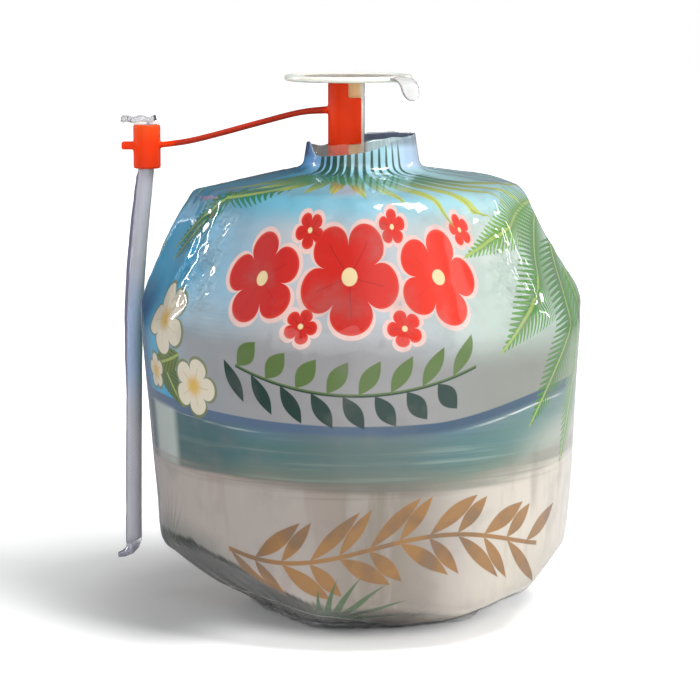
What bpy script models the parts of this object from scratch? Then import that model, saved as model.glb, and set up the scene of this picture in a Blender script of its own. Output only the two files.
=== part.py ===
"""Young coconut, trimmed with a knife and shrunk in printed film, with its straw set.

The trimmed nut stands on its flat foot. The film rises at the top as a short open
collar. A stem stands inside the collar under a round lid with a pull tab. A red
tether clips on the stem and holds a wrapped drinking straw beside the nut.

The origin is the middle of the foot, on the surface that it stands on. X runs to
the right, Y to the back and Z up. Azimuths are in degrees from the front (-Y),
positive to the right (+X). Sizes are in metres.
"""

import math

import bmesh
import bpy
from mathutils import Matrix, Vector

COLLECTION_NAME = "young_coconut"
CUTTERS_NAME = "cutters"
UP = Vector((0.0, 0.0, 1.0))
BACK = Vector((0.0, 1.0, 0.0))
# Room between pieces that touch, and the distance within which points are one
GAP = 0.0003
MERGE = 0.00001
# How far a cutter reaches beyond what it cuts
OVERRUN = 0.005
BEVEL_SEGMENTS = 2
BEVEL_ANGLE = math.radians(30.0)
SHARP_ANGLE = math.radians(35.0)

# Trimmed nut: a slightly tapered wall, with knife cuts above and below it
WAIST_RADIUS = 0.0577
WAIST_HEIGHT = 0.083
WALL_TAPER = 0.066
# How far the wall leans to the right for each metre below the waist
WALL_LEAN = 0.019
WALL_SIDES = 48
NUT_HEIGHT = 0.1160
# Depth below the foot of the blank that the cuts are made in
BLANK_DEPTH = 0.030
SHOULDER_RADIUS = 0.0425
SHOULDER_HEIGHT = 0.1102
CROWN_SLOPE = 0.210
CROWN_CUTS = 9
FIRST_CROWN_CUT = 12.0

# Upper cuts, one knife stroke each: azimuth, distance from the axis at the waist's
# height, and how far the cut draws in for each metre that it rises
UPPER_CUTS = (
    (-36.0, 0.0537, 0.50),
    (-12.0, 0.0539, 0.51),
    (12.0, 0.0538, 0.53),
    (36.0, 0.0535, 0.54),
    (71.0, 0.0541, 0.55),
    (117.0, 0.0537, 0.55),
    (163.0, 0.0527, 0.52),
    (208.0, 0.0527, 0.50),
    (249.0, 0.0539, 0.47),
    (288.0, 0.0541, 0.46),
)

# Lower cuts: azimuth, height of the ridge under the wall, and where it meets the foot
LOWER_CUTS = (
    (-57.0, 0.0230, 0.0232),
    (-2.0, 0.0118, 0.0257),
    (30.0, 0.0085, 0.0262),
    (58.0, 0.0120, 0.0290),
    (82.0, 0.0130, 0.0309),
    (80.0, 0.0195, 0.0392),
    (112.0, 0.0160, 0.0310),
    (140.0, 0.0150, 0.0290),
    (178.0, 0.0140, 0.0270),
    (222.0, 0.0170, 0.0240),
    (260.0, 0.0222, 0.0234),
)

# The film rounds the ridges: size of the even mesh that is smoothed, how often, and
# the share of its triangles that is kept
FILM_VOXEL = 0.0024
FILM_SMOOTHING = 7
FILM_KEPT_SHARE = 0.17

# Film collar: a thin open wall round the stem, its rim uneven
COLLAR_CENTRE_X = 0.0004
COLLAR_FOOT_RADIUS = 0.0159
COLLAR_FOOT_LIFT = 0.0011
COLLAR_NECK_RADIUS = 0.0151
COLLAR_WALL = 0.0007
COLLAR_SIDES = 36
COLLAR_LEAN_LEFT = 0.0011
COLLAR_LEAN_RIGHT = 0.0012
# Shares of the collar's height at its rings, and how much of the foot's flare is left
COLLAR_RINGS = ((0.0, 1.0), (0.12, 0.4), (0.32, 0.0), (0.66, 0.0), (1.0, 0.0))
# Height of the rim at even steps round the collar, from the front to the right
COLLAR_RIM_HEIGHTS = (0.1214, 0.1227, 0.1245, 0.1244, 0.1235, 0.1208, 0.1226, 0.1211)

# Stem under the lid
STEM_X = -0.0030
STEM_RADIUS = 0.0042
STEM_SIDES = 32
STEM_TOP = 0.1378

# Lid with its pull tab
LID_RADIUS = 0.0165
LID_THICKNESS = 0.0015
LID_SIDES = 56
LID_ROUNDING = 0.0005
TAB_AZIMUTH = 52.0
TAB_HALF_WIDTH = 0.0035
TAB_THICKNESS = 0.0008
TAB_LENGTH = 0.0091
TAB_BEND_RADIUS = 0.0034
TAB_BEND = math.radians(74.0)
TAB_OVERLAP = 0.0016
TAB_STEPS = 12
TAB_ROWS = 6
# Width left at the very end of the round tip, as a share of the full width
TAB_TIP_SHARE = 0.2

# Tether: a clip round the stem, a strap, and a sleeve round the straw
CLIP_WALL = 0.0008
CLIP_TOP = 0.1375
CLIP_BOTTOM = 0.1172
CLIP_OPENING_X = 0.0033
CLIP_WING_TOP = 0.1338
CLIP_WING_BOTTOM = 0.1219
STRAP_HALF_HEIGHT = 0.0008
STRAP_HALF_WIDTH = 0.0012
STRAP_ROOT_SCALE = 1.25
STRAP_STEPS = 4
STRAP_SIDES = 10
# Middle line of the strap: its height at the clip, then X, Y and height on its way
STRAP_ROOT_HEIGHT = 0.1306
STRAP_ROUTE = (
    (-0.0155, 0.0018, 0.1298),
    (-0.0259, 0.0052, 0.1270),
    (-0.0363, 0.0087, 0.1240),
    (-0.0442, 0.0114, 0.1219),
    (-0.0500, 0.0132, 0.1209),
    (-0.0545, 0.0140, 0.1204),
)
SLEEVE_PLAY = 0.0004
SLEEVE_WALL = 0.0011
SLEEVE_TOP = 0.1259
SLEEVE_BOTTOM = 0.1144
SLEEVE_ROUNDING = 0.0004
STUB_LENGTH = 0.0031
STUB_HEIGHT = 0.0021
STUB_WIDTH = 0.0024

# Wrapped straw, hanging from the sleeve close behind the nut's left side
STRAW_Y = 0.0140
STRAW_OUTER_RADIUS = 0.0021
STRAW_SIDES = 16
# Middle of the straw from the top down: X and height
STRAW_ROUTE = (
    (-0.0560, 0.1278),
    (-0.0561, 0.1215),
    (-0.0563, 0.1150),
    (-0.0572, 0.1060),
    (-0.0582, 0.0960),
    (-0.0591, 0.0850),
    (-0.0598, 0.0720),
    (-0.0601, 0.0560),
    (-0.0604, 0.0400),
    (-0.0606, 0.0240),
    (-0.0606, 0.0170),
)
STRAW_STEPS = 2
# Empty end of the wrapper below the straw: X, height, half thickness, half width
WRAPPER_FOOT = (
    (-0.0608, 0.0148, 0.0019, 0.0023),
    (-0.0615, 0.0128, 0.0016, 0.0025),
    (-0.0630, 0.0115, 0.0012, 0.0025),
    (-0.0648, 0.0110, 0.0007, 0.0021),
)
# Folded end of the wrapper above the sleeve, from the straw's middle to the left and
# to the right, its height and width, and how far its underside is below the top
WRAPPER_FOLD_REACH = 0.0068
WRAPPER_FOLD_BACK = 0.0017
WRAPPER_FOLD_HEIGHT = 0.0014
WRAPPER_FOLD_WIDTH = 0.0042
WRAPPER_FOLD_DROP = 0.0011


def direction(azimuth):
    """Level unit vector that points outwards at an azimuth in degrees."""
    angle = math.radians(azimuth)
    return Vector((math.sin(angle), -math.cos(angle), 0.0))


def wall_radius(height):
    """Radius of the uncut wall at a height."""
    return WAIST_RADIUS - WALL_TAPER * (WAIST_HEIGHT - height)


def wall_distance(azimuth, height):
    """Distance of the leaning wall from the axis, at an azimuth in degrees."""
    lean = WALL_LEAN * (WAIST_HEIGHT - height)
    return wall_radius(height) + lean * math.sin(math.radians(azimuth))


def crown_height(radius):
    """Height of the crown's slope at a radius."""
    return SHOULDER_HEIGHT + CROWN_SLOPE * (SHOULDER_RADIUS - radius)


def clear_scene():
    for obj in list(bpy.data.objects):
        bpy.data.objects.remove(obj, do_unlink=True)


def make_collection(name):
    collection = bpy.data.collections.new(name)
    bpy.context.scene.collection.children.link(collection)
    return collection


def make_material(name, colour, roughness):
    material = bpy.data.materials.new(name)
    material.use_nodes = True
    shader = material.node_tree.nodes["Principled BSDF"]
    shader.inputs["Base Color"].default_value = (*colour, 1.0)
    shader.inputs["Roughness"].default_value = roughness
    shader.inputs["Metallic"].default_value = 0.0
    material.diffuse_color = (*colour, 1.0)
    return material


def add_object(name, bm, collection, material=None):
    """Turn a bmesh into a named object with its material."""
    mesh = bpy.data.meshes.new(name)
    bm.to_mesh(mesh)
    bm.free()
    if material:
        mesh.materials.append(material)
    obj = bpy.data.objects.new(name, mesh)
    collection.objects.link(obj)
    return obj


def add_cutter(name, bm, collection):
    """Add a helper that is only cut with or joined on."""
    cutter = add_object(name, bm, collection)
    cutter.hide_render = True
    cutter.display_type = "WIRE"
    return cutter


def combine(obj, other, operation):
    """Cut an object by another, or join the other to it."""
    boolean = obj.modifiers.new(operation.lower() + " " + other.name, "BOOLEAN")
    boolean.operation = operation
    boolean.solver = "EXACT"
    boolean.object = other


def round_edges(obj, width):
    bevel = obj.modifiers.new("rounded edges", "BEVEL")
    bevel.width = width
    bevel.segments = BEVEL_SEGMENTS
    bevel.limit_method = "ANGLE"
    bevel.angle_limit = BEVEL_ANGLE


def shade_smooth(obj):
    obj.data.shade_smooth()
    obj.data.set_sharp_from_angle(angle=SHARP_ANGLE)


def box(bm, low, high):
    """Add a box between two corners."""
    low = Vector(low)
    high = Vector(high)
    size = Matrix.Diagonal((*(high - low), 1.0))
    bmesh.ops.create_cube(bm, size=1.0, matrix=Matrix.Translation((low + high) / 2.0) @ size)


def cylinder(bm, x, y, bottom, top, radius, sides):
    """Add an upright closed cylinder."""
    bmesh.ops.create_cone(
        bm,
        cap_ends=True,
        segments=sides,
        radius1=radius,
        radius2=radius,
        depth=top - bottom,
        matrix=Matrix.Translation((x, y, (bottom + top) / 2.0)),
    )


def sweep(bm, sides, stations, capped):
    """Grow a ring through stations, each of which gives the point at an angle."""
    ring = bmesh.ops.create_circle(bm, cap_ends=False, segments=sides, radius=1.0)["verts"]
    angle_of = {vert: math.atan2(vert.co.y, vert.co.x) for vert in ring}
    for index, station in enumerate(stations):
        if index > 0:
            edges = [edge for edge in bm.edges if all(vert in angle_of for vert in edge.verts)]
            grown = bmesh.ops.extrude_edge_only(bm, edges=edges)["geom"]
            new_ring = [item for item in grown if isinstance(item, bmesh.types.BMVert)]
            new_angles = {}
            for vert in new_ring:
                neighbours = [edge.other_vert(vert) for edge in vert.link_edges]
                parent = next(other for other in neighbours if other in angle_of)
                new_angles[vert] = angle_of[parent]
            angle_of = new_angles
        elif capped:
            bmesh.ops.contextual_create(bm, geom=[edge for edge in bm.edges])
        for vert, angle in angle_of.items():
            vert.co = station(angle)
    if capped:
        last = [edge for edge in bm.edges if all(vert in angle_of for vert in edge.verts)]
        bmesh.ops.contextual_create(bm, geom=last)
    bmesh.ops.recalc_face_normals(bm, faces=bm.faces[:])


def ellipse_station(centre, first, second):
    """Station of a sweep: an ellipse spanned by two half axes."""
    return lambda angle: centre + first * math.cos(angle) + second * math.sin(angle)


def smooth_route(points, steps):
    """Points of a smooth curve through the given ones, with equal steps in each span."""
    padded = [points[0] * 2.0 - points[1], *points, points[-1] * 2.0 - points[-2]]
    route = []
    for index in range(1, len(padded) - 2):
        before, start, end, after = padded[index - 1:index + 3]
        for step in range(steps):
            t = step / steps
            linear = (end - before) * t
            square = (before * 2.0 - start * 5.0 + end * 4.0 - after) * t ** 2
            cube = (start * 3.0 - end * 3.0 + after - before) * t ** 3
            route.append(start + (linear + square + cube) / 2.0)
    route.append(points[-1].copy())
    return route


def knife_cut(bm, point, normal):
    """Slice off what lies beyond a plane and close the cut."""
    geometry = bm.verts[:] + bm.edges[:] + bm.faces[:]
    cut = bmesh.ops.bisect_plane(
        bm, geom=geometry, dist=MERGE, plane_co=point, plane_no=normal, clear_outer=True
    )
    rim = [item for item in cut["geom_cut"] if isinstance(item, bmesh.types.BMEdge)]
    if rim:
        bmesh.ops.contextual_create(bm, geom=rim)


def trim_nut(bm):
    """Crown, upper and lower knife cuts, each one a plane."""
    for index in range(CROWN_CUTS):
        outward = direction(FIRST_CROWN_CUT + index * 360.0 / CROWN_CUTS)
        knife_cut(bm, outward * SHOULDER_RADIUS + UP * SHOULDER_HEIGHT, outward * CROWN_SLOPE + UP)
    for azimuth, radius, draw_in in UPPER_CUTS:
        outward = direction(azimuth)
        knife_cut(bm, outward * radius + UP * WAIST_HEIGHT, outward + UP * draw_in)
    for azimuth, ridge_height, foot_radius in LOWER_CUTS:
        outward = direction(azimuth)
        run = wall_distance(azimuth, ridge_height) - foot_radius
        knife_cut(bm, outward * foot_radius, outward * ridge_height - UP * run)


def soften_with_film(obj):
    """Round the ridges as the tight film does, and return the result as a bmesh."""
    remesh = obj.modifiers.new("even skin", "REMESH")
    remesh.mode = "VOXEL"
    remesh.voxel_size = FILM_VOXEL
    smooth = obj.modifiers.new("tight film", "SMOOTH")
    smooth.iterations = FILM_SMOOTHING
    thin = obj.modifiers.new("fewer faces", "DECIMATE")
    thin.ratio = FILM_KEPT_SHARE
    bpy.context.view_layer.update()
    evaluated = obj.evaluated_get(bpy.context.evaluated_depsgraph_get())
    bm = bmesh.new()
    bm.from_mesh(evaluated.to_mesh())
    evaluated.to_mesh_clear()
    return bm


def make_wrapped_coconut(material, collection):
    """Tapered cylinder trimmed by plane cuts, rounded, then cut flat at both ends."""
    bm = bmesh.new()
    top = NUT_HEIGHT + BLANK_DEPTH
    bmesh.ops.create_cone(
        bm,
        cap_ends=True,
        segments=WALL_SIDES,
        radius1=wall_radius(-BLANK_DEPTH),
        radius2=wall_radius(top),
        depth=top + BLANK_DEPTH,
        matrix=Matrix.Translation((0.0, 0.0, (top - BLANK_DEPTH) / 2.0)),
    )
    for vert in bm.verts:
        vert.co.x += WALL_LEAN * (WAIST_HEIGHT - vert.co.z)
    trim_nut(bm)
    blank = add_object("nut_blank", bm, collection)
    skin = soften_with_film(blank)
    bpy.data.objects.remove(blank, do_unlink=True)
    knife_cut(skin, UP * 0.0, -UP)
    knife_cut(skin, UP * NUT_HEIGHT, UP)
    obj = add_object("wrapped_coconut", skin, collection, material)
    shade_smooth(obj)
    return obj


def rim_height(azimuth):
    """Height of the collar's rim at an azimuth, eased between the listed heights."""
    count = len(COLLAR_RIM_HEIGHTS)
    place = (azimuth % 360.0) * count / 360.0
    index = int(place)
    ease = (1.0 - math.cos(math.pi * (place - index))) / 2.0
    low = COLLAR_RIM_HEIGHTS[index % count]
    high = COLLAR_RIM_HEIGHTS[(index + 1) % count]
    return low + (high - low) * ease


def collar_station(share, flare):
    """Ring of the collar's outer face, at a share of the way from foot to rim."""
    foot = crown_height(COLLAR_FOOT_RADIUS) + COLLAR_FOOT_LIFT
    radius = COLLAR_NECK_RADIUS + (COLLAR_FOOT_RADIUS - COLLAR_NECK_RADIUS) * flare

    def point(angle):
        outward = Vector((math.cos(angle), math.sin(angle), 0.0))
        azimuth = math.degrees(math.atan2(outward.x, -outward.y))
        lean = COLLAR_LEAN_RIGHT if outward.x > 0.0 else COLLAR_LEAN_LEFT
        height = foot + share * (rim_height(azimuth) - foot)
        middle = Vector((COLLAR_CENTRE_X, 0.0, height))
        return middle + outward * (radius - share * abs(outward.x) * lean)

    return point


def make_film_collar(material, collection):
    """Open band of film, given its thickness inwards."""
    bm = bmesh.new()
    stations = [collar_station(share, flare) for share, flare in COLLAR_RINGS]
    sweep(bm, COLLAR_SIDES, stations, capped=False)
    obj = add_object("film_collar", bm, collection, material)
    solidify = obj.modifiers.new("film wall", "SOLIDIFY")
    solidify.thickness = COLLAR_WALL
    solidify.offset = -1.0
    shade_smooth(obj)
    return obj


def make_spout_stem(material, collection):
    """Round stem that stands on the nut inside the collar."""
    bm = bmesh.new()
    cylinder(bm, STEM_X, 0.0, NUT_HEIGHT + GAP, STEM_TOP, STEM_RADIUS, STEM_SIDES)
    obj = add_object("spout_stem", bm, collection, material)
    shade_smooth(obj)
    return obj


def make_tab(collection):
    """Tongue of the lid, bent down, round at its end."""
    bm = bmesh.new()
    bmesh.ops.create_grid(bm, x_segments=TAB_STEPS, y_segments=TAB_ROWS, size=0.5)
    for vert in bm.verts:
        along = (vert.co.x + 0.5) * TAB_LENGTH
        end = max(0.0, along - (TAB_LENGTH - TAB_HALF_WIDTH)) / TAB_HALF_WIDTH
        half_width = TAB_HALF_WIDTH * math.sqrt(max(TAB_TIP_SHARE ** 2, 1.0 - end ** 2))
        side = 2.0 * vert.co.y * half_width
        arc = min(max(0.0, along - TAB_OVERLAP) / TAB_BEND_RADIUS, TAB_BEND)
        rest = max(0.0, along - TAB_OVERLAP - TAB_BEND_RADIUS * TAB_BEND)
        reach = min(along, TAB_OVERLAP) + TAB_BEND_RADIUS * math.sin(arc) + rest * math.cos(TAB_BEND)
        drop = TAB_BEND_RADIUS * (1.0 - math.cos(arc)) + rest * math.sin(TAB_BEND)
        vert.co = Vector((reach, side, -drop))
    bmesh.ops.solidify(bm, geom=bm.faces[:], thickness=TAB_THICKNESS)
    bmesh.ops.recalc_face_normals(bm, faces=bm.faces[:])
    root = Vector((STEM_X, 0.0, 0.0)) + direction(TAB_AZIMUTH) * (LID_RADIUS - TAB_OVERLAP)
    root.z = STEM_TOP + GAP + (LID_THICKNESS + TAB_THICKNESS) / 2.0
    turn = Matrix.Rotation(math.radians(TAB_AZIMUTH - 90.0), 4, "Z")
    bmesh.ops.transform(bm, matrix=Matrix.Translation(root) @ turn, verts=bm.verts[:])
    return add_cutter("pull_tab_form", bm, collection)


def make_lid(material, collection, cutters):
    """Round lid on the stem, moulded with its pull tab."""
    bm = bmesh.new()
    bottom = STEM_TOP + GAP
    cylinder(bm, STEM_X, 0.0, bottom, bottom + LID_THICKNESS, LID_RADIUS, LID_SIDES)
    obj = add_object("lid_with_tab", bm, collection, material)
    round_edges(obj, LID_ROUNDING)
    combine(obj, make_tab(cutters), "UNION")
    shade_smooth(obj)
    return obj


def strap_points():
    """Middle line of the strap, from inside the clip's wall to the sleeve's middle."""
    clip_edge = STEM_X - STEM_RADIUS - GAP - CLIP_WALL / 2.0
    root = Vector((clip_edge, 0.0, STRAP_ROOT_HEIGHT))
    return [root, *(Vector(point) for point in STRAP_ROUTE)]


def make_strap(cutters):
    """Flat strap with rounded edges, thicker where it leaves the clip."""
    route = smooth_route(strap_points(), STRAP_STEPS)
    stations = []
    for index, centre in enumerate(route):
        ahead = route[min(index + 1, len(route) - 1)]
        behind = route[max(index - 1, 0)]
        along = (ahead - behind).normalized()
        level = along.cross(UP).normalized()
        upright = level.cross(along)
        near_clip = max(0.0, 1.0 - index / STRAP_STEPS)
        scale = 1.0 + (STRAP_ROOT_SCALE - 1.0) * near_clip
        first = level * STRAP_HALF_WIDTH * scale
        second = upright * STRAP_HALF_HEIGHT * scale
        stations.append(ellipse_station(centre, first, second))
    bm = bmesh.new()
    sweep(bm, STRAP_SIDES, stations, capped=True)
    return add_cutter("strap_form", bm, cutters)


def make_tether(material, collection, cutters):
    """Clip, strap and sleeve, moulded as one piece."""
    inner = STEM_RADIUS + GAP
    outer = inner + CLIP_WALL
    bm = bmesh.new()
    cylinder(bm, STEM_X, 0.0, CLIP_BOTTOM, CLIP_TOP, outer, STEM_SIDES)
    tether = add_object("straw_tether", bm, collection, material)

    sleeve_x = STRAW_ROUTE[1][0]
    bore = STRAW_OUTER_RADIUS + SLEEVE_PLAY
    bm = bmesh.new()
    cylinder(bm, sleeve_x, STRAW_Y, SLEEVE_BOTTOM, SLEEVE_TOP, bore + SLEEVE_WALL, STEM_SIDES)
    sleeve = add_cutter("sleeve_form", bm, cutters)
    round_edges(sleeve, SLEEVE_ROUNDING)

    bm = bmesh.new()
    stub_end = sleeve_x - bore - SLEEVE_WALL - STUB_LENGTH
    middle = STRAP_ROUTE[-1][2]
    low = (stub_end, STRAW_Y - STUB_WIDTH / 2.0, middle - STUB_HEIGHT / 2.0)
    high = (sleeve_x, STRAW_Y + STUB_WIDTH / 2.0, middle + STUB_HEIGHT / 2.0)
    box(bm, low, high)
    stub = add_cutter("stub_form", bm, cutters)
    round_edges(stub, SLEEVE_ROUNDING)

    bm = bmesh.new()
    cylinder(bm, STEM_X, 0.0, CLIP_BOTTOM - OVERRUN, CLIP_TOP + OVERRUN, inner, STEM_SIDES)
    stem_bore = add_cutter("stem_bore", bm, cutters)
    bm = bmesh.new()
    bottom = SLEEVE_BOTTOM - OVERRUN
    cylinder(bm, sleeve_x, STRAW_Y, bottom, SLEEVE_TOP + OVERRUN, bore, STEM_SIDES)
    straw_bore = add_cutter("straw_bore", bm, cutters)

    reach = 2.0 * outer
    opening_x = STEM_X + CLIP_OPENING_X
    bm = bmesh.new()
    box(bm, (opening_x, -reach, CLIP_BOTTOM - reach), (STEM_X + reach, reach, CLIP_TOP + reach))
    opening = add_cutter("clip_opening", bm, cutters)
    bm = bmesh.new()
    box(bm, (STEM_X, -reach, CLIP_WING_TOP), (STEM_X + reach, reach, CLIP_TOP + reach))
    upper_notch = add_cutter("upper_notch", bm, cutters)
    bm = bmesh.new()
    box(bm, (STEM_X, -reach, CLIP_BOTTOM - reach), (STEM_X + reach, reach, CLIP_WING_BOTTOM))
    lower_notch = add_cutter("lower_notch", bm, cutters)

    for form in (make_strap(cutters), sleeve, stub):
        combine(tether, form, "UNION")
    for cutter in (stem_bore, straw_bore, opening, upper_notch, lower_notch):
        combine(tether, cutter, "DIFFERENCE")
    shade_smooth(tether)
    return tether


def make_wrapped_straw(material, collection, cutters):
    """Straw in its clear wrapper, whose empty ends are bent to the left."""
    points = [Vector((x, STRAW_Y, height)) for x, height in STRAW_ROUTE]
    route = smooth_route(points, STRAW_STEPS)
    stations = []
    for centre in route:
        first = Vector((STRAW_OUTER_RADIUS, 0.0, 0.0))
        second = Vector((0.0, STRAW_OUTER_RADIUS, 0.0))
        stations.append(ellipse_station(centre, first, second))
    behind = route[-1]
    for x, height, half_thickness, half_width in WRAPPER_FOOT:
        centre = Vector((x, STRAW_Y, height))
        along = (centre - behind).normalized()
        across = Vector((0.0, half_width, 0.0))
        thick = along.cross(BACK).normalized() * half_thickness
        stations.append(ellipse_station(centre, thick, across))
        behind = centre
    bm = bmesh.new()
    sweep(bm, STRAW_SIDES, stations, capped=True)
    obj = add_object("wrapped_straw", bm, collection, material)

    top = points[0]
    bm = bmesh.new()
    low = top + Vector((-WRAPPER_FOLD_REACH, -WRAPPER_FOLD_WIDTH / 2.0, -WRAPPER_FOLD_DROP))
    high = top + Vector((WRAPPER_FOLD_BACK, WRAPPER_FOLD_WIDTH / 2.0, 0.0))
    high.z = low.z + WRAPPER_FOLD_HEIGHT
    box(bm, low, high)
    fold = add_cutter("wrapper_fold_form", bm, cutters)
    round_edges(fold, SLEEVE_ROUNDING)
    combine(obj, fold, "UNION")
    shade_smooth(obj)
    return obj


def build():
    clear_scene()
    collection = make_collection(COLLECTION_NAME)
    cutters = make_collection(CUTTERS_NAME)
    film = make_material("printed_film", (0.62, 0.72, 0.72), 0.25)
    stem = make_material("pale_stem", (0.92, 0.80, 0.62), 0.35)
    white = make_material("white_lid", (0.90, 0.89, 0.86), 0.35)
    red = make_material("red_tether", (0.85, 0.12, 0.02), 0.40)
    wrapper = make_material("wrapped_straw", (0.72, 0.71, 0.76), 0.25)
    make_wrapped_coconut(film, collection)
    make_film_collar(film, collection)
    make_spout_stem(stem, collection)
    make_lid(white, collection, cutters)
    make_tether(red, collection, cutters)
    make_wrapped_straw(wrapper, collection, cutters)


build()
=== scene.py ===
"""Young coconut in printed film, with its lid, tether and wrapped straw.

Lengths are in metres, and in the print's node trees in millimetres. Azimuths are in
degrees from the front (-Y), positive to the right (+X). A colour that is given as a
tuple is as a screen shows it, from 0 to 255.
"""

import math
from functools import reduce

import bmesh
import bpy
import numpy as np
from bpy.props import FloatProperty, FloatVectorProperty, IntProperty, PointerProperty
from mathutils import Color, Matrix, Vector, noise
from mathutils.bvhtree import BVHTree


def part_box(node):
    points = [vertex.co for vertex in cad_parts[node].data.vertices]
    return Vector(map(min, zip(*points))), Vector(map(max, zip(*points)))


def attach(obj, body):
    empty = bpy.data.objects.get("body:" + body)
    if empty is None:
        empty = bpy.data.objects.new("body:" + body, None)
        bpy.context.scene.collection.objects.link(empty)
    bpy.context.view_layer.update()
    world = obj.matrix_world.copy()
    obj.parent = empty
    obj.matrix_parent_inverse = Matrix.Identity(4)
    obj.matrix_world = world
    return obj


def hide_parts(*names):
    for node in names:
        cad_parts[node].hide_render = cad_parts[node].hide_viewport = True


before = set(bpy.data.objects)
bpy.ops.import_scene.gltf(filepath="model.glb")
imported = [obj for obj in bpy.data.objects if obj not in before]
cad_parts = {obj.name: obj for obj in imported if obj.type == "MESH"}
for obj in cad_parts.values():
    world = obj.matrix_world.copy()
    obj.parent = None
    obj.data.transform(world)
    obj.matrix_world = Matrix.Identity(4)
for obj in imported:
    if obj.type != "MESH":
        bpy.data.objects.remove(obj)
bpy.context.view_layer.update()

bl_info = {
    "name": "Wrapped young coconut",
    "version": (1, 0, 0),
    "blender": (4, 5, 0),
    "location": "3D View > Sidebar > Coconut",
    "description": "A trimmed young coconut in printed film, with a lid, a tether and a straw",
    "category": "Object",
}

BODY = "root"
STEM_LOW, STEM_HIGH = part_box("spout_stem")
LID_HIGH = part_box("lid_with_tab")[1]

UP = Vector((0.0, 0.0, 1.0))
BACK = Vector((0.0, 1.0, 0.0))
MERGE = 0.000005
MM = 1000.0
# Attribute that tells the film's outside (0) from its inner wall (1) and floor (2)
ZONE = "zone"
# Attribute that says how near a place is to a ridge, an outline or a side
NEAR = "near"

# Film on the nut: rays go out from this height on the axis, up to this elevation
RAY_HEIGHT = 0.055
TOP_ELEVATION = 71.4
NUT_ROWS = 196
# Film collar, as the solids have it
COLLAR_X = 0.0004
COLLAR_RADIUS = 0.0151
COLLAR_LEAN_LEFT = 0.0011
COLLAR_LEAN_RIGHT = 0.0012
COLLAR_FOOT_HEIGHT = 0.1168
COLLAR_STRAIGHT_HEIGHT = 0.1178
COLLAR_FLOOR = 0.1162
COLLAR_ROWS = 30
# Share of those rows that is in the fillet
FILLET_SHARE = 0.4
INSIDE_ROWS = 13
FLOOR_ROWS = 8
# Height of the film's clear rim and of the print's end below it, by azimuth
FILM_RIM = (
    (-180.0, 0.1235, 0.1232), (-135.0, 0.1208, 0.1205), (-90.0, 0.1225, 0.1222),
    (-75.0, 0.1230, 0.1227), (-66.0, 0.1229, 0.1221), (-57.0, 0.1225, 0.1199),
    (-48.0, 0.1224, 0.1191), (-33.0, 0.1223, 0.1194), (-14.0, 0.1228, 0.1199),
    (2.0, 0.1232, 0.1205), (22.0, 0.1239, 0.1219), (36.0, 0.1242, 0.1234),
    (46.0, 0.1244, 0.1241), (90.0, 0.1245, 0.1242), (135.0, 0.1244, 0.1241),
)
# Where the film bulges or draws in from the solid nut: azimuth, elevation and their
# spreads in degrees, and how far
FILM_BULGES = (
    (-82.0, -35.0, 30.0, 6.0, 0.0006), (-80.0, -43.0, 30.0, 6.0, 0.0011),
    (-78.0, -51.0, 30.0, 6.0, 0.0011), (-95.0, 43.0, 30.0, 9.0, 0.0008),
    (-98.0, 53.0, 26.0, 6.0, -0.0007), (-120.0, 60.0, 30.0, 8.0, -0.0003),
    (112.0, 65.0, 30.0, 7.0, 0.0004), (106.0, 57.0, 30.0, 6.0, 0.0011),
    (93.0, 38.0, 30.0, 8.0, -0.0006), (80.0, -31.0, 26.0, 6.0, -0.0004),
    (60.0, -38.0, 16.0, 6.0, -0.0006), (40.0, -43.0, 14.0, 6.0, -0.0005),
)
# Ridges over which the film is rounder: azimuth, and heights between which they run
SOFT_RIDGES = ((-54.0, 0.081, 0.110), (50.0, 0.081, 0.110))
SEAM_AZIMUTH = 100.0
# Clear edge above the print: faces round it, and how far in its two sides are
CLEAR_EDGE_TURNS = 180
CLEAR_EDGE_SIDES = (0.00002, 0.00016)
FOOT_FILM_RINGS = 9

STEM_X = -0.0030
STEM_RADIUS = 0.0042
LID_UNDERSIDE = 0.1381

# Pull tab of the lid
TAB_AZIMUTH = 52.0
TAB_HALF_WIDTH = 0.0035
TAB_LENGTH = 0.0094
TAB_BEND_RADIUS = 0.0034
TAB_BEND = math.radians(74.0)
TAB_OVERLAP = 0.0016
TAB_WALL = 0.00045

# Straw: X and height along its middle line
STRAW_Y = 0.0140
STRAW_ROUTE = (
    (-0.0560, 0.1270), (-0.0561, 0.1215), (-0.0563, 0.1150), (-0.0572, 0.1060),
    (-0.0582, 0.0960), (-0.0591, 0.0850), (-0.0598, 0.0720), (-0.0601, 0.0560),
    (-0.0604, 0.0400), (-0.0606, 0.0240), (-0.0607, 0.0142),
)
# How much higher the right side of its cut end is than the middle
STRAW_CUT_SLOPE = 0.0009
# Fin of the wrapper: height where it is widest, how far up and down from there it
# narrows, and height above which there is none
FIN_HEIGHT = 0.086
FIN_REACH = 0.032
FIN_TOP = 0.1135
# Empty end of the wrapper below the straw: X, height, half thickness, half width
WRAPPER_FOOT = (
    (-0.0611, 0.0126, 0.0017, 0.0023), (-0.0620, 0.0114, 0.0013, 0.0025),
    (-0.0634, 0.0106, 0.0009, 0.0025), (-0.0649, 0.0103, 0.0006, 0.0020),
)
# Bunched wrapper on the sleeve: height, half width, half depth
BUNCH_X = -0.05655
WRAPPER_BUNCH = (
    (0.1273, 0.0024, 0.0015), (0.1271, 0.0029, 0.0018), (0.1266, 0.00315, 0.0020),
    (0.1261, 0.00310, 0.0020), (0.12592, 0.0030, 0.0019),
)
# Folded end of the wrapper on top: its left end, length, depth, height and wall
FOLD_LEFT = -0.0626
FOLD_LENGTH = 0.0088
FOLD_DEPTH = 0.0042
FOLD_HEIGHT = 0.1273
FOLD_WALL = 0.0012

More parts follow.
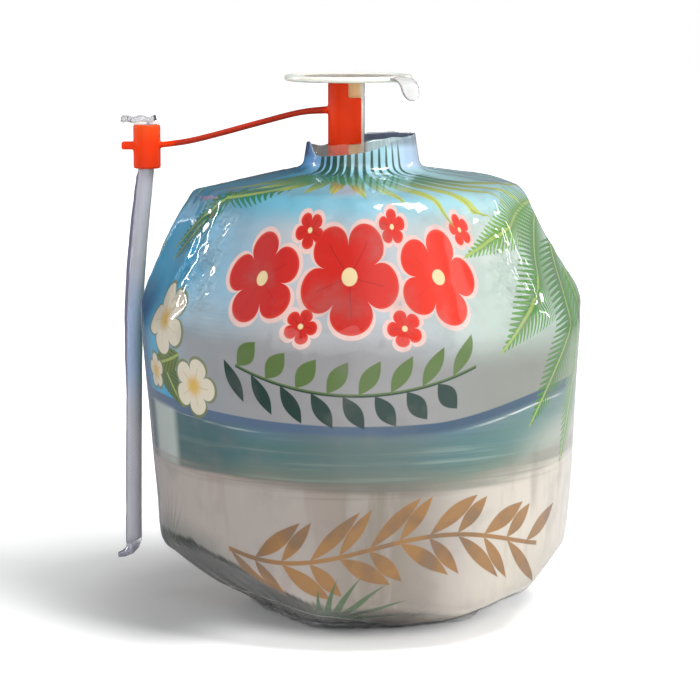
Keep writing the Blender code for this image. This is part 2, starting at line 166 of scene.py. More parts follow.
# Camera: place, pitch in degrees, focal length in widths of the picture, and width of
# its sensor in millimetres
CAMERA_PLACE = (-0.0026, -0.690, 0.169)
CAMERA_PITCH = 8.33
CAMERA_FOCUS = 2670.0 / 700.0
SENSOR = 36.0
LAMP_TARGET = Vector((0.0, 0.0, 0.06))


def linear(shown):
    """Linear colour of one that is given as a screen shows it."""
    shares = [value / 255.0 for value in shown]
    return Color([
        share / 12.92 if share <= 0.04045 else ((share + 0.055) / 1.055) ** 2.4
        for share in shares
    ])


def colour_property(name, description, shown):
    return FloatVectorProperty(
        name=name, description=description, subtype="COLOR", size=3, min=0.0, max=1.0,
        default=tuple(linear(shown)),
    )


def length_property(name, description, default):
    return FloatProperty(
        name=name, description=description, default=default, min=0.0,
        subtype="DISTANCE", unit="LENGTH",
    )


def power_property(name, description, default):
    return FloatProperty(name=name, description=description, default=default, min=0.0)


class FilmSettings(bpy.types.PropertyGroup):
    turns: IntProperty(
        name="Steps round", description="Faces round the film", default=384, min=48, max=390
    )
    crinkle: length_property("Crinkles", "Height of the crinkles along the ridges", 0.0003)
    gathers: length_property("Gathers", "Height of the gathers near the foot", 0.0004)
    wall: length_property("Collar wall", "Thickness of the film at the collar", 0.00022)
    sky: colour_property("Sky", "Pale field on the front", (192, 198, 204))
    sky_left: colour_property("Deep sky", "Deep blue field on the left", (0, 166, 216))
    crown: colour_property("Crown", "Blue field on top", (120, 192, 216))
    sea: colour_property("Water", "Teal field", (84, 125, 127))
    horizon: colour_property("Far water", "Dark line above the water", (58, 88, 114))
    sand: colour_property("Sand", "Warm field at the bottom", (184, 174, 166))
    blossom: colour_property("Blossoms", "Big red blossoms", (214, 40, 30))


class StemSettings(bpy.types.PropertyGroup):
    radius: length_property("Radius", "Radius of the stem", STEM_RADIUS)
    colour: colour_property("Colour", "Pale moulded plastic", (255, 206, 150))


class LidSettings(bpy.types.PropertyGroup):
    radius: length_property("Radius", "Radius of the lid", 0.0165)
    colour: colour_property("Colour", "White moulded plastic", (254, 252, 240))


class TetherSettings(bpy.types.PropertyGroup):
    voxel: length_property("Detail", "Size of the even mesh the moulding gets", 0.00022)
    colour: colour_property("Colour", "Red-orange moulded plastic", (255, 62, 8))


class StrawSettings(bpy.types.PropertyGroup):
    radius: length_property("Radius", "Radius of the straw", 0.00198)
    play: length_property("Play", "Room between the straw and its wrapper", 0.00012)
    colour: colour_property("Colour", "Pale plastic of the straw", (206, 206, 214))


class StageSettings(bpy.types.PropertyGroup):
    floor: length_property("Floor", "Side of the floor", 6.0)
    key: power_property("Key light", "Power of the main lamp", 8.0)
    fill: power_property("Fill light", "Power of the wide lamp", 3.2)


# Node trees, written as plain sums

def method(operation, swapped=False):
    """A method of Wire that puts its value through a math node."""

    def add_node(self, *others):
        values = (*others, self) if swapped else (self, *others)
        return sum_node(self.tree, operation, *values)

    return add_node


class Wire:
    """An output in a node tree that sums are written with, as with a number."""

    def __init__(self, tree, socket):
        self.tree = tree
        self.socket = socket

    __add__ = method("ADD")
    __radd__ = method("ADD", swapped=True)
    __sub__ = method("SUBTRACT")
    __rsub__ = method("SUBTRACT", swapped=True)
    __mul__ = method("MULTIPLY")
    __rmul__ = method("MULTIPLY", swapped=True)
    __truediv__ = method("DIVIDE")
    __pow__ = method("POWER")
    __abs__ = method("ABSOLUTE")
    wrap = method("FLOORED_MODULO")
    floor = method("FLOOR")
    sin = method("SINE")
    cos = method("COSINE")
    most = method("MAXIMUM")
    least = method("MINIMUM")

    def ramp(self, start, end):
        """0 at start, 1 at end, eased between."""
        node = self.tree.nodes.new("ShaderNodeMapRange")
        node.interpolation_type = "SMOOTHSTEP"
        feed(self.tree, self, node.inputs["Value"])
        feed(self.tree, start, node.inputs["From Min"])
        feed(self.tree, end, node.inputs["From Max"])
        return Wire(self.tree, node.outputs["Result"])

    def within(self, low, high, soft):
        """1 between two values, 0 outside."""
        return self.ramp(low - soft, low + soft) * self.ramp(high + soft, high - soft)


def feed(tree, value, socket):
    """Links a wire to a socket, or sets the socket to a number or a colour."""
    if isinstance(value, Wire):
        tree.links.new(value.socket, socket)
    elif isinstance(value, (int, float)):
        socket.default_value = value
    else:
        colour = linear(value) if isinstance(value, tuple) else value
        socket.default_value = (*colour, 1.0)


def sum_node(tree, operation, *values):
    node = tree.nodes.new("ShaderNodeMath")
    node.operation = operation
    for value, socket in zip(values, node.inputs):
        feed(tree, value, socket)
    return Wire(tree, node.outputs[0])


def lay_over(tree, colour, *layers):
    """A colour with others laid over it, each where its mask says."""
    for over, mask in layers:
        node = tree.nodes.new("ShaderNodeMix")
        node.data_type = "RGBA"
        for value, socket in zip((mask, colour, over), (0, 6, 7)):
            feed(tree, value, node.inputs[socket])
        colour = Wire(tree, node.outputs[2])
    return colour


def distance(right, up):
    return (right * right + up * up) ** 0.5


def vector(tree, x, y, z):
    node = tree.nodes.new("ShaderNodeCombineXYZ")
    for value, socket in zip((x, y, z), node.inputs):
        feed(tree, value, socket)
    return Wire(tree, node.outputs[0])


def grain(tree, place, scale, detail=2.0):
    """Soft noise from 0 to 1 at a place."""
    node = tree.nodes.new("ShaderNodeTexNoise")
    node.inputs["Scale"].default_value = scale
    node.inputs["Detail"].default_value = detail
    feed(tree, place, node.inputs["Vector"])
    return Wire(tree, node.outputs[0])


def long_grain(tree, x, y, z, detail):
    """Soft noise whose grains are long where a coordinate is scaled down."""
    return grain(tree, vector(tree, x, y, z), 1.0, detail)


def object_place(tree):
    """The place on the object, in metres."""
    return Wire(tree, tree.nodes.new("ShaderNodeTexCoord").outputs["Object"])


def split(tree, place):
    node = tree.nodes.new("ShaderNodeSeparateXYZ")
    feed(tree, place, node.inputs[0])
    return [Wire(tree, socket) for socket in node.outputs]


def attribute(tree, name):
    node = tree.nodes.new("ShaderNodeAttribute")
    node.attribute_name = name
    return Wire(tree, node.outputs["Fac"])


def relief(tree, shader, height, depth):
    """Gives the shader low relief of a depth in metres."""
    node = tree.nodes.new("ShaderNodeBump")
    node.inputs["Distance"].default_value = depth
    feed(tree, height, node.inputs["Height"])
    tree.links.new(node.outputs[0], shader.inputs["Normal"])


def group_of_nodes(name, inputs, outputs, build):
    """A group of nodes; build gets its inputs and gives its outputs."""
    tree = bpy.data.node_groups.new(name, "ShaderNodeTree")
    for labels, way in ((inputs, "INPUT"), (outputs, "OUTPUT")):
        for label in labels:
            tree.interface.new_socket(label, in_out=way, socket_type="NodeSocketFloat")
    entry = tree.nodes.new("NodeGroupInput")
    leave = tree.nodes.new("NodeGroupOutput")
    results = build(*[Wire(tree, socket) for socket in entry.outputs if socket.name in inputs])
    for result, socket in zip(results, leave.inputs):
        feed(tree, result, socket)
    return tree


def use_group(tree, group, *values):
    node = tree.nodes.new("ShaderNodeGroup")
    node.node_tree = group
    for value, socket in zip(values, node.inputs):
        feed(tree, value, socket)
    return [Wire(tree, socket) for socket in node.outputs]


def new_material(name, **sockets):
    """A material whose shader has these sockets set, its tree and its shader."""
    material = bpy.data.materials.new(name)
    material.use_nodes = True
    tree = material.node_tree
    shader = tree.nodes["Principled BSDF"]
    for label, value in sockets.items():
        feed(tree, value, shader.inputs[label.replace("_", " ").title().replace("Ior", "IOR")])
    return material, tree, shader


# The print: fields of colour with blossoms and leaves, and painted light and shade in some of
# them

# Red blossoms: place across and up, radius and turn
RED_BLOSSOMS = (
    (-3.0, 93.0, 13.6, 0.6), (-27.5, 92.0, 11.2, 1.9), (21.5, 92.5, 11.6, 0.1),
    (-15.6, 103.6, 4.6, 1.0), (9.8, 104.4, 4.4, 2.4), (-14.6, 81.4, 4.3, 0.3),
    (10.6, 81.0, 4.5, 1.5), (33.0, 103.0, 4.0, 2.0),
)
CREAM_BLOSSOMS = ((-57.0, 80.0, 9.2, 1.2), (-45.0, 64.5, 7.4, 0.2), (-63.5, 66.0, 4.6, 2.1))
# Long leaves: root across and up, direction in degrees, length, half width, bend,
# colour and how torn the edge is
BROAD_LEAVES = (
    (-60.0, 72.0, -62.0, 17.0, 4.4, 3.0, (98, 118, 44), 0.1),
    (-50.0, 72.0, 205.0, 16.0, 3.4, -3.0, (112, 132, 52), 0.1),
    (-49.0, 111.5, 227.0, 28.0, 5.4, -3.0, (44, 118, 96), 1.0),
    (-46.0, 112.0, 206.0, 32.0, 4.4, 3.0, (60, 134, 96), 1.0),
    (-51.0, 110.0, 6.0, 26.0, 3.6, 2.0, (56, 130, 84), 1.0),
    (88.0, 107.0, 182.0, 58.0, 6.6, 9.0, (112, 170, 58), 0.9),
    (87.0, 104.0, 200.0, 60.0, 9.6, 11.0, (76, 148, 40), 0.9),
    (88.0, 97.0, 217.0, 60.0, 10.0, 9.0, (58, 134, 34), 0.9),
    (86.0, 90.0, 236.0, 54.0, 9.6, 7.0, (84, 152, 42), 0.9),
    (86.0, 80.0, 252.0, 38.0, 7.4, 4.0, (52, 122, 36), 0.9),
)
# Azimuth at which the design begins; it comes twice round
DESIGN_START = -80.0


def blossom_group():
    """How deep a place is in a five-petalled blossom, in its heart and in its veins."""

    def build(across, height, middle, level, radius, turn):
        right = across - middle
        up = height - level
        away = distance(right, up)
        angle = sum_node(right.tree, "ARCTAN2", up, right) * 2.5 + turn
        petal = radius * (0.52 + 0.48 * abs(angle.cos()) ** 0.42)
        vein = 0.24 - abs(angle.sin()) * away * 0.4
        return petal - away, radius * 0.16 - away, vein.least(radius * 0.7 - away)

    labels = ("Across", "Height", "Middle", "Level", "Radius", "Turn")
    return group_of_nodes("blossom", labels, ("Depth", "Heart", "Vein"), build)


def leaf_group():
    """How deep a place is in a long leaf, how far along it and how far beside its rib."""

    def build(across, height, root, level, cosine, sine, length, width, bend):
        right = across - root
        up = height - level
        along = right * cosine + up * sine
        share = along / length
        beside = up * cosine - right * sine - bend * share * share
        held = share.least(1.0).most(0.0)
        depth = (held ** 0.75 * math.pi).sin() * width - abs(beside)
        return depth, along, beside

    labels = (
        "Across", "Height", "Root", "Level", "Cosine", "Sine", "Length", "Width", "Bend",
    )
    return group_of_nodes("leaf", labels, ("Depth", "Along", "Beside"), build)


def sprig(across, offset, period, length, width, lean, first, last):
    """How deep a place is in the whole leaves that stand on both sides of a stem."""
    below = offset.ramp(0.0, -0.05)
    shifted = across + below * (period * 0.5)
    cell = (shifted / period).floor()
    along = shifted - cell * period - period * 0.12
    rise = abs(offset)
    cosine = math.cos(math.radians(lean))
    sine = math.sin(math.radians(lean))
    share = ((along * cosine + rise * sine) / length).least(1.0).most(0.0)
    depth = (share * math.pi).sin() * width - abs(rise * cosine - along * sine)
    kept = cell.within(first - 0.5, last + 0.5, 0.01)
    return depth * kept + kept - 1.0


def fan(right, up, reach, gap, count, width, sweep):
    """How deep a place is in the blades that spread from a point."""
    away = distance(right, up)
    angle = sum_node(right.tree, "ARCTAN2", right, up) + away * sweep
    cell = (angle / gap + 0.5).floor()
    lot = (cell * 12.9898).sin() * 0.3 + 0.75
    share = (away / (lot * reach)).least(1.0)
    depth = (share ** 0.6 * math.pi).sin() * width - abs(angle - cell * gap) * away
    kept = abs(cell).ramp(count + 0.6, count + 0.4)
    return depth * kept + kept - 1.0


class Print:
    """The film's print, with painted light and shade in some fields, and what each part of it is
    worked out from.
    """

    def __init__(self, tree, place, settings):
        self.tree = tree
        self.settings = settings
        self.x, self.y, self.z = x, y, z = [axis * MM for axis in split(tree, place)]
        self.radius = distance(x, y)
        self.side = x / self.radius
        azimuth = sum_node(tree, "ARCTAN2", x, y * -1.0) * (180.0 / math.pi)
        self.motif = (azimuth - DESIGN_START).wrap(180.0) + DESIGN_START
        self.across = self.motif * 0.95
        # 1 on the design, down to 0 at its right end
        self.not_at_end = self.motif.ramp(99.0, 74.0)
        # Mask for painted shade along the left outline, on the front
        self.left_outline_shade = self.side.ramp(-0.93, -0.985) * y.ramp(2.0, -4.0)
        self.soft = grain(tree, place, 34.0, 3.0)
        self.mottle = grain(tree, place, 110.0, 4.0)
        self.fine = grain(tree, place, 240.0, 2.0)
        self.streaks = long_grain(tree, x * 0.022, y * 0.022, z * 0.62, 4.0)
        self.wobble = (grain(tree, place, 70.0, 1.0) - 0.5) * 1.6

    def paint(self, colour, *layers):
        return lay_over(self.tree, colour, *layers)

    def sky(self):
        side, z, settings = self.side, self.z, self.settings
        left = side.ramp(-0.74, -0.88)
        collar = self.paint(
            (186, 236, 250),
            ((190, 214, 242), side.ramp(0.3, 0.9)),
            ((104, 184, 248), side.ramp(-0.2, -0.75)),
        )
        top = self.paint(
            settings.crown,
            # Painted light and shade: the crown is paler on its right and darker blue on its left
            ((172, 218, 224), side.ramp(-0.1, 0.75)),
            ((52, 150, 186), side.ramp(-0.45, -0.85)),
            (collar, z.ramp(115.0, 117.0)),
        )
        # Painted shade: the sky turns grey below the waist, lower down on the right and only
        # faintly on the deep blue left
        low = self.paint((158, 156, 156), ((138, 139, 131), side.ramp(0.1, 0.7)))
        shade_below_waist = (z + side.ramp(0.05, 0.4) * 5.0).ramp(86.0, 74.0)
        return self.paint(
            settings.sky,
            ((186, 204, 192), side.ramp(0.1, 0.75)),
            ((142, 186, 210), side.ramp(-0.36, -0.74)),
            (settings.sky_left, left),
            (top, z.ramp(102.5, 109.5)),
            ((224, 224, 226), self.soft.ramp(0.46, 0.7) * (1.0 - left * 0.7) * 0.35),
            # Painted shade below the waist
            (low, shade_below_waist * (0.85 - left * 0.8)),
            # Painted shade: deep blue along the left outline
            ((10, 76, 132), self.left_outline_shade * z.ramp(92.0, 80.0) * 0.85),
        )

    def ground(self):
        """Sand and water, with the sky above the horizon."""
        side, x, y, z = self.side, self.x, self.y, self.z
        streaks, wobble, settings = self.streaks, self.wobble, self.settings
        bow = side * side
        right = side.ramp(0.3, 0.9)
        # Mask for painted shade: the middle, which faces the camera, is painted darker than the
        # sides, which show more sheen
        middle = abs(side).ramp(0.5, 0.1)
        horizon = bow * 3.8 + right * 3.6 + 57.4
        shore = bow * 1.2 + right * 3.6 + wobble + 42.6
        share = (z - shore) / (horizon - shore)
        # Painted reflection: a tall, narrow pale streak on the left side, on the front
        painted_reflection = side.ramp(-0.82, -0.86) * side.ramp(-0.96, -0.93) * y.ramp(-6.0, -14.0)
        far = self.paint((88, 112, 140), (settings.horizon, side.ramp(-0.4, 0.5)))
        foam = (z - horizon + wobble * 0.4 + 3.2).within(-0.22, 0.22, 0.2)
        sea = self.paint(
            (122, 136, 120),
            (settings.sea, share.ramp(0.0, 0.42)),
            ((94, 128, 144), share.ramp(0.55, 0.88)),
            ((166, 184, 174), streaks.ramp(0.52, 0.7) * share.ramp(1.0, 0.3) * 0.5),
            ((72, 110, 110), streaks.ramp(0.48, 0.32) * 0.4),
            ((66, 100, 104), side.ramp(-0.4, -0.7) * 0.7),
            # Painted shade: darker water along the left outline
            ((48, 84, 94), self.left_outline_shade * 0.8),
            # Painted shade in the middle
            ((100, 112, 104), middle * 0.55),
            # Painted light: paler water on the right, which the lamps light more
            ((112, 150, 140), right * 0.6),
            # Painted sheen: pale water low on the right
            ((208, 208, 194), side.ramp(0.62, 0.9) * share.ramp(0.7, 0.15) * 0.6),
            # Painted reflection on the water at the left
            ((206, 214, 208), painted_reflection * 0.75),
            (far, share.ramp(0.78, 0.9)),
            ((226, 232, 230), foam * streaks.ramp(0.42, 0.56) * abs(side).ramp(0.4, 0.7)),
        )

        # The water runs into the sand in streaks
        stains = long_grain(self.tree, x * 0.16, y * 0.16, z * 0.03, 4.0)
        run = (streaks - 0.5) * 8.0
        wet_end = bow * 3.0 + wobble * 0.6 + 40.4
        wet = self.paint(
            (128, 118, 110),
            # Painted light: paler wet sand on the right
            ((146, 148, 134), side.ramp(0.1, 0.7)),
            # Painted shade in the middle
            ((104, 102, 92), middle * 0.8),
        )
        return self.paint(
            settings.sand,
            # Painted light: paler sand on the right
            ((228, 219, 205), side.ramp(0.2, 0.75)),
            ((200, 192, 178), side.ramp(0.5, 0.85) * z.ramp(26.0, 14.0) * 0.5),
            # Painted shade in the middle and on its left
            ((142, 132, 117), middle * side.ramp(-0.35, 0.05) * 0.85),
            ((168, 148, 140), stains.ramp(0.52, 0.72) * 0.45),
            ((196, 186, 182), stains.ramp(0.46, 0.3) * 0.4),
            (wet, (z - wet_end + run).ramp(-2.0, 2.6) * 0.85),
            (sea, (z - shore + run * 0.8).ramp(-1.6, 2.2)),
            (self.sky(), (z - horizon).ramp(-0.2, 0.2)),
        )

    def grass_and_shade(self, field):
        """Dark green blades of the print along the chamfer on the left, in painted shade, with
        blades that spread above it.
        """
        motif, across, z = self.motif, self.across, self.z
        # Upper edge of the painted shade, along the chamfer's ridge
        top = motif.ramp(-62.0, 8.0) * self.not_at_end * -15.0 + self.wobble + 24.5
        blades = long_grain(self.tree, across * 0.9 + z * 0.35, 0.0, z * 0.06, 3.0)
        # The print's dark blades, darkened further as painted shade over the chamfer facet
        grass_and_shade = self.paint((26, 42, 38), ((6, 13, 12), blades.ramp(0.42, 0.6)))
        grass_and_shade_mask = (z - top + (blades - 0.5) * 3.0).ramp(0.8, -0.8)
        grown = motif.ramp(2.0, -22.0).most(motif.ramp(80.0, 96.0))
        depth = fan(across + 66.0, z - 18.0, 22.0, 0.17, 5, 0.5, 0.01)
        return self.paint(
            field,
            # Painted shade: a greenish grey tint just above the dark blades
            ((104, 116, 110), (z - top).ramp(7.0, 0.0) * motif.ramp(-28.0, -50.0) * 0.5),
            (grass_and_shade, grass_and_shade_mask * grown * 0.92),
            ((112, 118, 106), depth.ramp(0.0, 0.3) * 0.55),
        )

    def swag(self, field):
        """A hanging row of leaves under the blossoms."""
        across = self.across
        hang = (across + 1.5) / 29.0
        offset = self.z - hang * hang * 6.0 - 65.0
        depth = sprig(across + 1.5, offset, 7.5, 10.0, 2.2, 58.0, -4, 3)
        stem = abs(offset).ramp(0.55, 0.3) * across.within(-31.0, 28.0, 0.2)
        green = self.paint((28, 62, 54), ((96, 124, 62), offset.ramp(-0.1, 0.1)))
        return self.paint(field, (green, depth.ramp(0.02, 0.3).most(stem)))

    def flowers(self, group, blossoms):
        """Depth in any of the blossoms, in their hearts and in their veins."""
        parts = [use_group(self.tree, group, self.across, self.z, *one) for one in blossoms]
        return [reduce(Wire.most, column) for column in zip(*parts)]

    def blossoms(self, field):
        """Red blossoms, long leaves, and cream blossoms over those of the left."""
        side = self.side
        blossom = blossom_group()
        depth, heart, vein = self.flowers(blossom, RED_BLOSSOMS)
        red = self.paint(
            self.settings.blossom,
            ((150, 24, 26), vein.ramp(0.0, 0.2) * 0.55),
            ((196, 44, 44), side.ramp(-0.1, -0.6) * 0.7),
            ((250, 44, 0), side.ramp(0.0, 0.4) * 0.8),
            ((236, 92, 70), depth.ramp(1.0, 0.2) * 0.4),
        )
        field = self.paint(
            field,
            ((240, 204, 196), (depth + 1.15).ramp(0.0, 0.3)),
            (red, depth.ramp(0.0, 0.28)),
            ((246, 222, 170), heart.ramp(-0.1, 0.2)),
        )
        leaf = leaf_group()
        for root, level, turn, length, width, bend, shown, torn in BROAD_LEAVES:
            cosine = math.cos(math.radians(turn))
            sine = math.sin(math.radians(turn))
            values = (self.across, self.z, root, level, cosine, sine, length, width, bend)
            depth, along, beside = use_group(self.tree, leaf, *values)
            aside = abs(beside)
            outer = aside / (depth + aside)
            tooth = ((along - aside * 1.3) * 3.3).cos()
            leaflets = tooth - (outer * 2.3 - 1.3) * torn + (1.0 - torn) * 2.0
            dark = tuple(0.66 * value for value in shown)
            shade = self.paint(
                shown, (dark, tooth.ramp(0.4, -0.8) * 0.7),
                ((186, 204, 104), aside.ramp(0.5, 0.2) * 0.7),
            )
            mask = depth.ramp(0.0, 0.35) * leaflets.ramp(-0.35, 0.35) * 0.96
            field = self.paint(field, (shade, mask))

        depth, heart, vein = self.flowers(blossom, CREAM_BLOSSOMS)
        cream = self.paint((232, 222, 200), ((192, 176, 136), vein.ramp(0.0, 0.2) * 0.5))
        cream = self.paint((228, 186, 90), (cream, heart.ramp(0.6, -2.6)))
        return self.paint(
            field,
            ((122, 132, 76), (depth + 0.9).ramp(0.0, 0.4) * 0.8),
            (cream, depth.ramp(0.0, 0.3)),
        )

    def collar_leaves(self, field):
        """Slim leaves that spread from the collar over the crown, and the collar's ends."""
        motif, side, z = self.motif, self.side, self.z
        outward = self.radius + z.ramp(116.0, 117.5) * (117.0 - z) * 0.5
        spread = (outward - 16.0).most(0.0)
        swept = motif - (motif + 9.0) * spread * 0.022
        gap = 7.4
        count = (swept / gap).floor()
        lot = (count * 12.9898).sin() * 0.5 + 0.5
        reach = (outward - 9.0) / (lot * 11.0 + 27.0)
        curl = spread * spread * 0.010 * (lot - 0.35)
        from_rib = abs(swept.wrap(gap) - gap / 2.0 + curl) * outward * (math.pi / 180.0)
        broad = outward.ramp(15.4, 26.0) * 0.9 + 0.8 + motif.ramp(2.0, -14.0) * 0.35
        blade = (reach.least(1.0).most(0.0) ** 0.9 * math.pi).sin() * broad - from_rib
        kept = (count + 0.5).within(-5.6, 6.4, 0.1) * z.ramp(103.0, 105.0)
        slim = self.paint(
            (30, 78, 52),
            ((64, 132, 78), outward.ramp(16.5, 23.0)),
            ((196, 206, 84), outward.ramp(24.0, 36.0)),
            ((24, 66, 48), (from_rib * 7.0).cos().ramp(0.3, 1.0) * 0.35),
        )
        return self.paint(
            field,
            (slim, blade.ramp(0.0, 0.25) * kept * 0.94),
            ((130, 148, 156), side.ramp(0.2, 0.5) * z.ramp(121.0, 123.0) * 0.8),
            ((84, 96, 150), side.ramp(-0.8, -0.97) * z.ramp(118.2, 119.6) * 0.8),
        )

    def branch(self, field):
        """A branch on the sand, and a tuft at the foot."""
        across, z = self.across, self.z
        offset = z - (across * 0.075).sin() * 3.6 - 26.0
        even = sprig(across, offset, 15.0, 17.0, 2.1, 38.0, -2, 3)
        odd = sprig(across + 7.5, offset, 15.0, 13.5, 1.9, 50.0, -1, 3)
        stem = abs(offset).ramp(0.75, 0.4) * across.within(-36.0, 52.0, 0.3)
        brown = self.paint((166, 116, 52), ((136, 96, 50), self.mottle.ramp(0.4, 0.65)))
        tuft = fan(across + 9.5, z - 2.0, 25.0, 0.26, 4, 1.15, -0.012)
        return self.paint(
            field,
            (brown, even.most(odd).ramp(0.0, 0.35).most(stem) * 0.92),
            ((72, 104, 62), tuft.ramp(0.0, 0.35) * 0.9),
        )

    def ends(self, field):
        """The husk under the clear film below the print, darkened as painted shade at the foot,
        and the collar's inside.
        """
        z, fine = self.z, self.fine
        end = self.motif.ramp(-14.0, 12.0) * self.not_at_end * -4.6 + self.wobble + 7.0
        # The husk is brownish, and painted darker as the shade it lies in at the foot
        husk = self.paint((58, 56, 50), ((104, 98, 86), fine.ramp(0.4, 0.65)))
        back = self.paint(
            (118, 140, 172),
            ((144, 158, 180), self.soft.ramp(0.4, 0.6)),
            # Painted shade: a dark fold in the inner wall on the right
            ((84, 84, 124), self.side.ramp(0.86, 0.96)),
        )
        pith = self.paint((206, 192, 160), ((150, 128, 92), fine.ramp(0.45, 0.7)))
        inner = attribute(self.tree, ZONE)
        return self.paint(
            field,
            (husk, (z - end).ramp(0.2, -0.2) * z.ramp(12.0, 9.0)),
            ((214, 212, 208), (z - end).within(-0.3, 0.3, 0.15) * 0.8),
            ((132, 126, 122), self.mottle.ramp(0.48, 0.78) * 0.3),
            (back, inner.ramp(0.4, 0.6)),
            (pith, inner.ramp(1.4, 1.6)),
            ((0, 0, 0), 0.14),
        )

    def colour(self):
        """Colour of the film at each place."""
        field = self.ground()
        layers = (
            self.grass_and_shade, self.swag, self.blossoms, self.collar_leaves, self.branch, self.ends,
        )
        for layer in layers:
            field = layer(field)
        return field


# Materials

def film_material(settings):
    material, tree, shader = new_material(
        "printed film", roughness=0.4, specular_ior_level=0.2, coat_weight=1.0,
        coat_roughness=0.04, coat_ior=1.5,
    )
    place = object_place(tree)
    feed(tree, Print(tree, place, settings).colour(), shader.inputs["Base Color"])
    x, y, z = split(tree, place)
    lines = long_grain(tree, x * 60.0, y * 60.0, z * 900.0, 3.0)
    waist = (z * MM).within(76.0, 90.0, 4.0) * x.ramp(-0.02, -0.05)
    dimples = grain(tree, place, 160.0, 3.0)
    gathers = long_grain(tree, x * 420.0, y * 420.0, z * 60.0, 2.0)
    low = z.ramp(0.022, 0.006)
    squiggles = abs(grain(tree, place, 300.0, 2.0) - 0.5) * attribute(tree, NEAR)
    height = dimples * 0.45 + lines * waist * 1.4 + gathers * low * 1.5 + squiggles * 11.0
    relief(tree, shader, height, 0.00022)
    return material


def clear_material(
        name, colour, alpha, stretch=(1.0, 1.0, 1.0), depth=0.0002, milk=0.28, edges=(), foot=()):
    """Thin clear plastic, milky in its creases.

    edges lists spans of the attribute near, and foot a span of heights. Each span comes
    with a colour and an alpha.
    """
    material, tree, shader = new_material(
        name, roughness=0.12, coat_weight=0.8, coat_roughness=0.04,
    )
    x, y, z = split(tree, object_place(tree))
    place = vector(tree, x * stretch[0], y * stretch[1], z * stretch[2])
    creases = grain(tree, place, 260.0, 2.0)
    layers = [((246, 246, 250), creases.ramp(0.5, 0.7) * (milk * 3.0))]
    cover = creases.ramp(0.5, 0.72) * milk + alpha
    near = attribute(tree, NEAR)
    for start, end, shade, strength in edges:
        mask = near.ramp(start, end)
        layers.append((shade, mask))
        cover = cover.most(mask * strength)
    for start, end, shade, strength in foot:
        mask = z.ramp(start, end)
        layers.append((shade, mask * creases.ramp(0.62, 0.42)))
        cover = cover.most(mask * strength)
    feed(tree, lay_over(tree, colour, *layers), shader.inputs["Base Color"])
    feed(tree, cover, shader.inputs["Alpha"])
    relief(tree, shader, creases, depth)
    return material, tree, shader, cover


def plastic_material(name, colour, roughness, gloss=0.35):
    """Moulded plastic with a faint cloud in its linear colour."""
    material, tree, shader = new_material(
        name, roughness=roughness, specular_ior_level=gloss, coat_weight=0.1,
        coat_roughness=0.2, subsurface_weight=0.15, subsurface_scale=0.0012,
    )
    place = object_place(tree)
    cloud = grain(tree, place, 120.0, 3.0)
    shade = lay_over(tree, colour, (colour * 0.8, cloud.ramp(0.4, 0.75) * 0.4))
    feed(tree, shade, shader.inputs["Base Color"])
    relief(tree, shader, grain(tree, place, 900.0, 3.0), 0.00004)
    return material, tree, shader


def mark(tree, shader, *layers):
    """Lays colours over the one that the shader has, each where its mask says."""
    socket = shader.inputs["Base Color"]
    shade = Wire(tree, socket.links[0].from_socket)
    feed(tree, lay_over(tree, shade, *layers), socket)


# Meshes

def smooth_step(low, high, values):
    share = np.clip((values - low) / (high - low), 0.0, 1.0)
    return share * share * (3.0 - 2.0 * share)


def rough(points, scale, seed):
    """Noise from -1 to 1 at each of an array of points."""
    flat = points.reshape(-1, 3) * scale + seed
    return np.array([noise.noise(point) for point in flat]).reshape(points.shape[:-1])


def blur(values, times):
    """Evens out a table whose columns go round and whose rows go up."""
    for _ in range(times):
        values = (np.roll(values, 1, 1) + values * 2.0 + np.roll(values, -1, 1)) / 4.0
        padded = np.vstack([values[:1], values, values[-1:]])
        values = (padded[:-2] + values * 2.0 + padded[2:]) / 4.0
    return values


def aside(azimuths, azimuth):
    """How far to the right of an azimuth others are, from -180 to 180."""
    return (azimuths - azimuth + 180.0) % 360.0 - 180.0


def bump(azimuths, azimuth, width):
    """A smooth bump, 1 high, at an azimuth."""
    return np.exp(-((azimuths - azimuth) / width) ** 2)


def waves(azimuths, *parts):
    """Waves round the axis, from the height, the number and the phase of each."""
    return sum(
        height * np.sin(np.radians(azimuths * number) + phase)
        for height, number, phase in parts
    )


def round_points(azimuths, radii, heights, x=0.0):
    """Points at azimuths, radii and heights round an upright axis."""
    angles = np.radians(azimuths)
    axes = (x + np.sin(angles) * radii, -np.cos(angles) * radii, heights)
    return np.stack(np.broadcast_arrays(*axes), axis=-1)


def spin(bm, turns):
    """Spins the line in a bmesh round the axis, and joins what meets on the axis."""
    bmesh.ops.spin(
        bm, geom=bm.verts[:] + bm.edges[:], cent=(0.0, 0.0, 0.0), axis=UP,
        angle=2.0 * math.pi, steps=turns, use_merge=True,
    )
    bmesh.ops.remove_doubles(bm, verts=bm.verts[:], dist=MERGE)


def ring_edges(ring):
    """The edges between the vertices of a ring."""
    return list({
        edge for vert in ring for edge in vert.link_edges if edge.other_vert(vert) in ring
    })


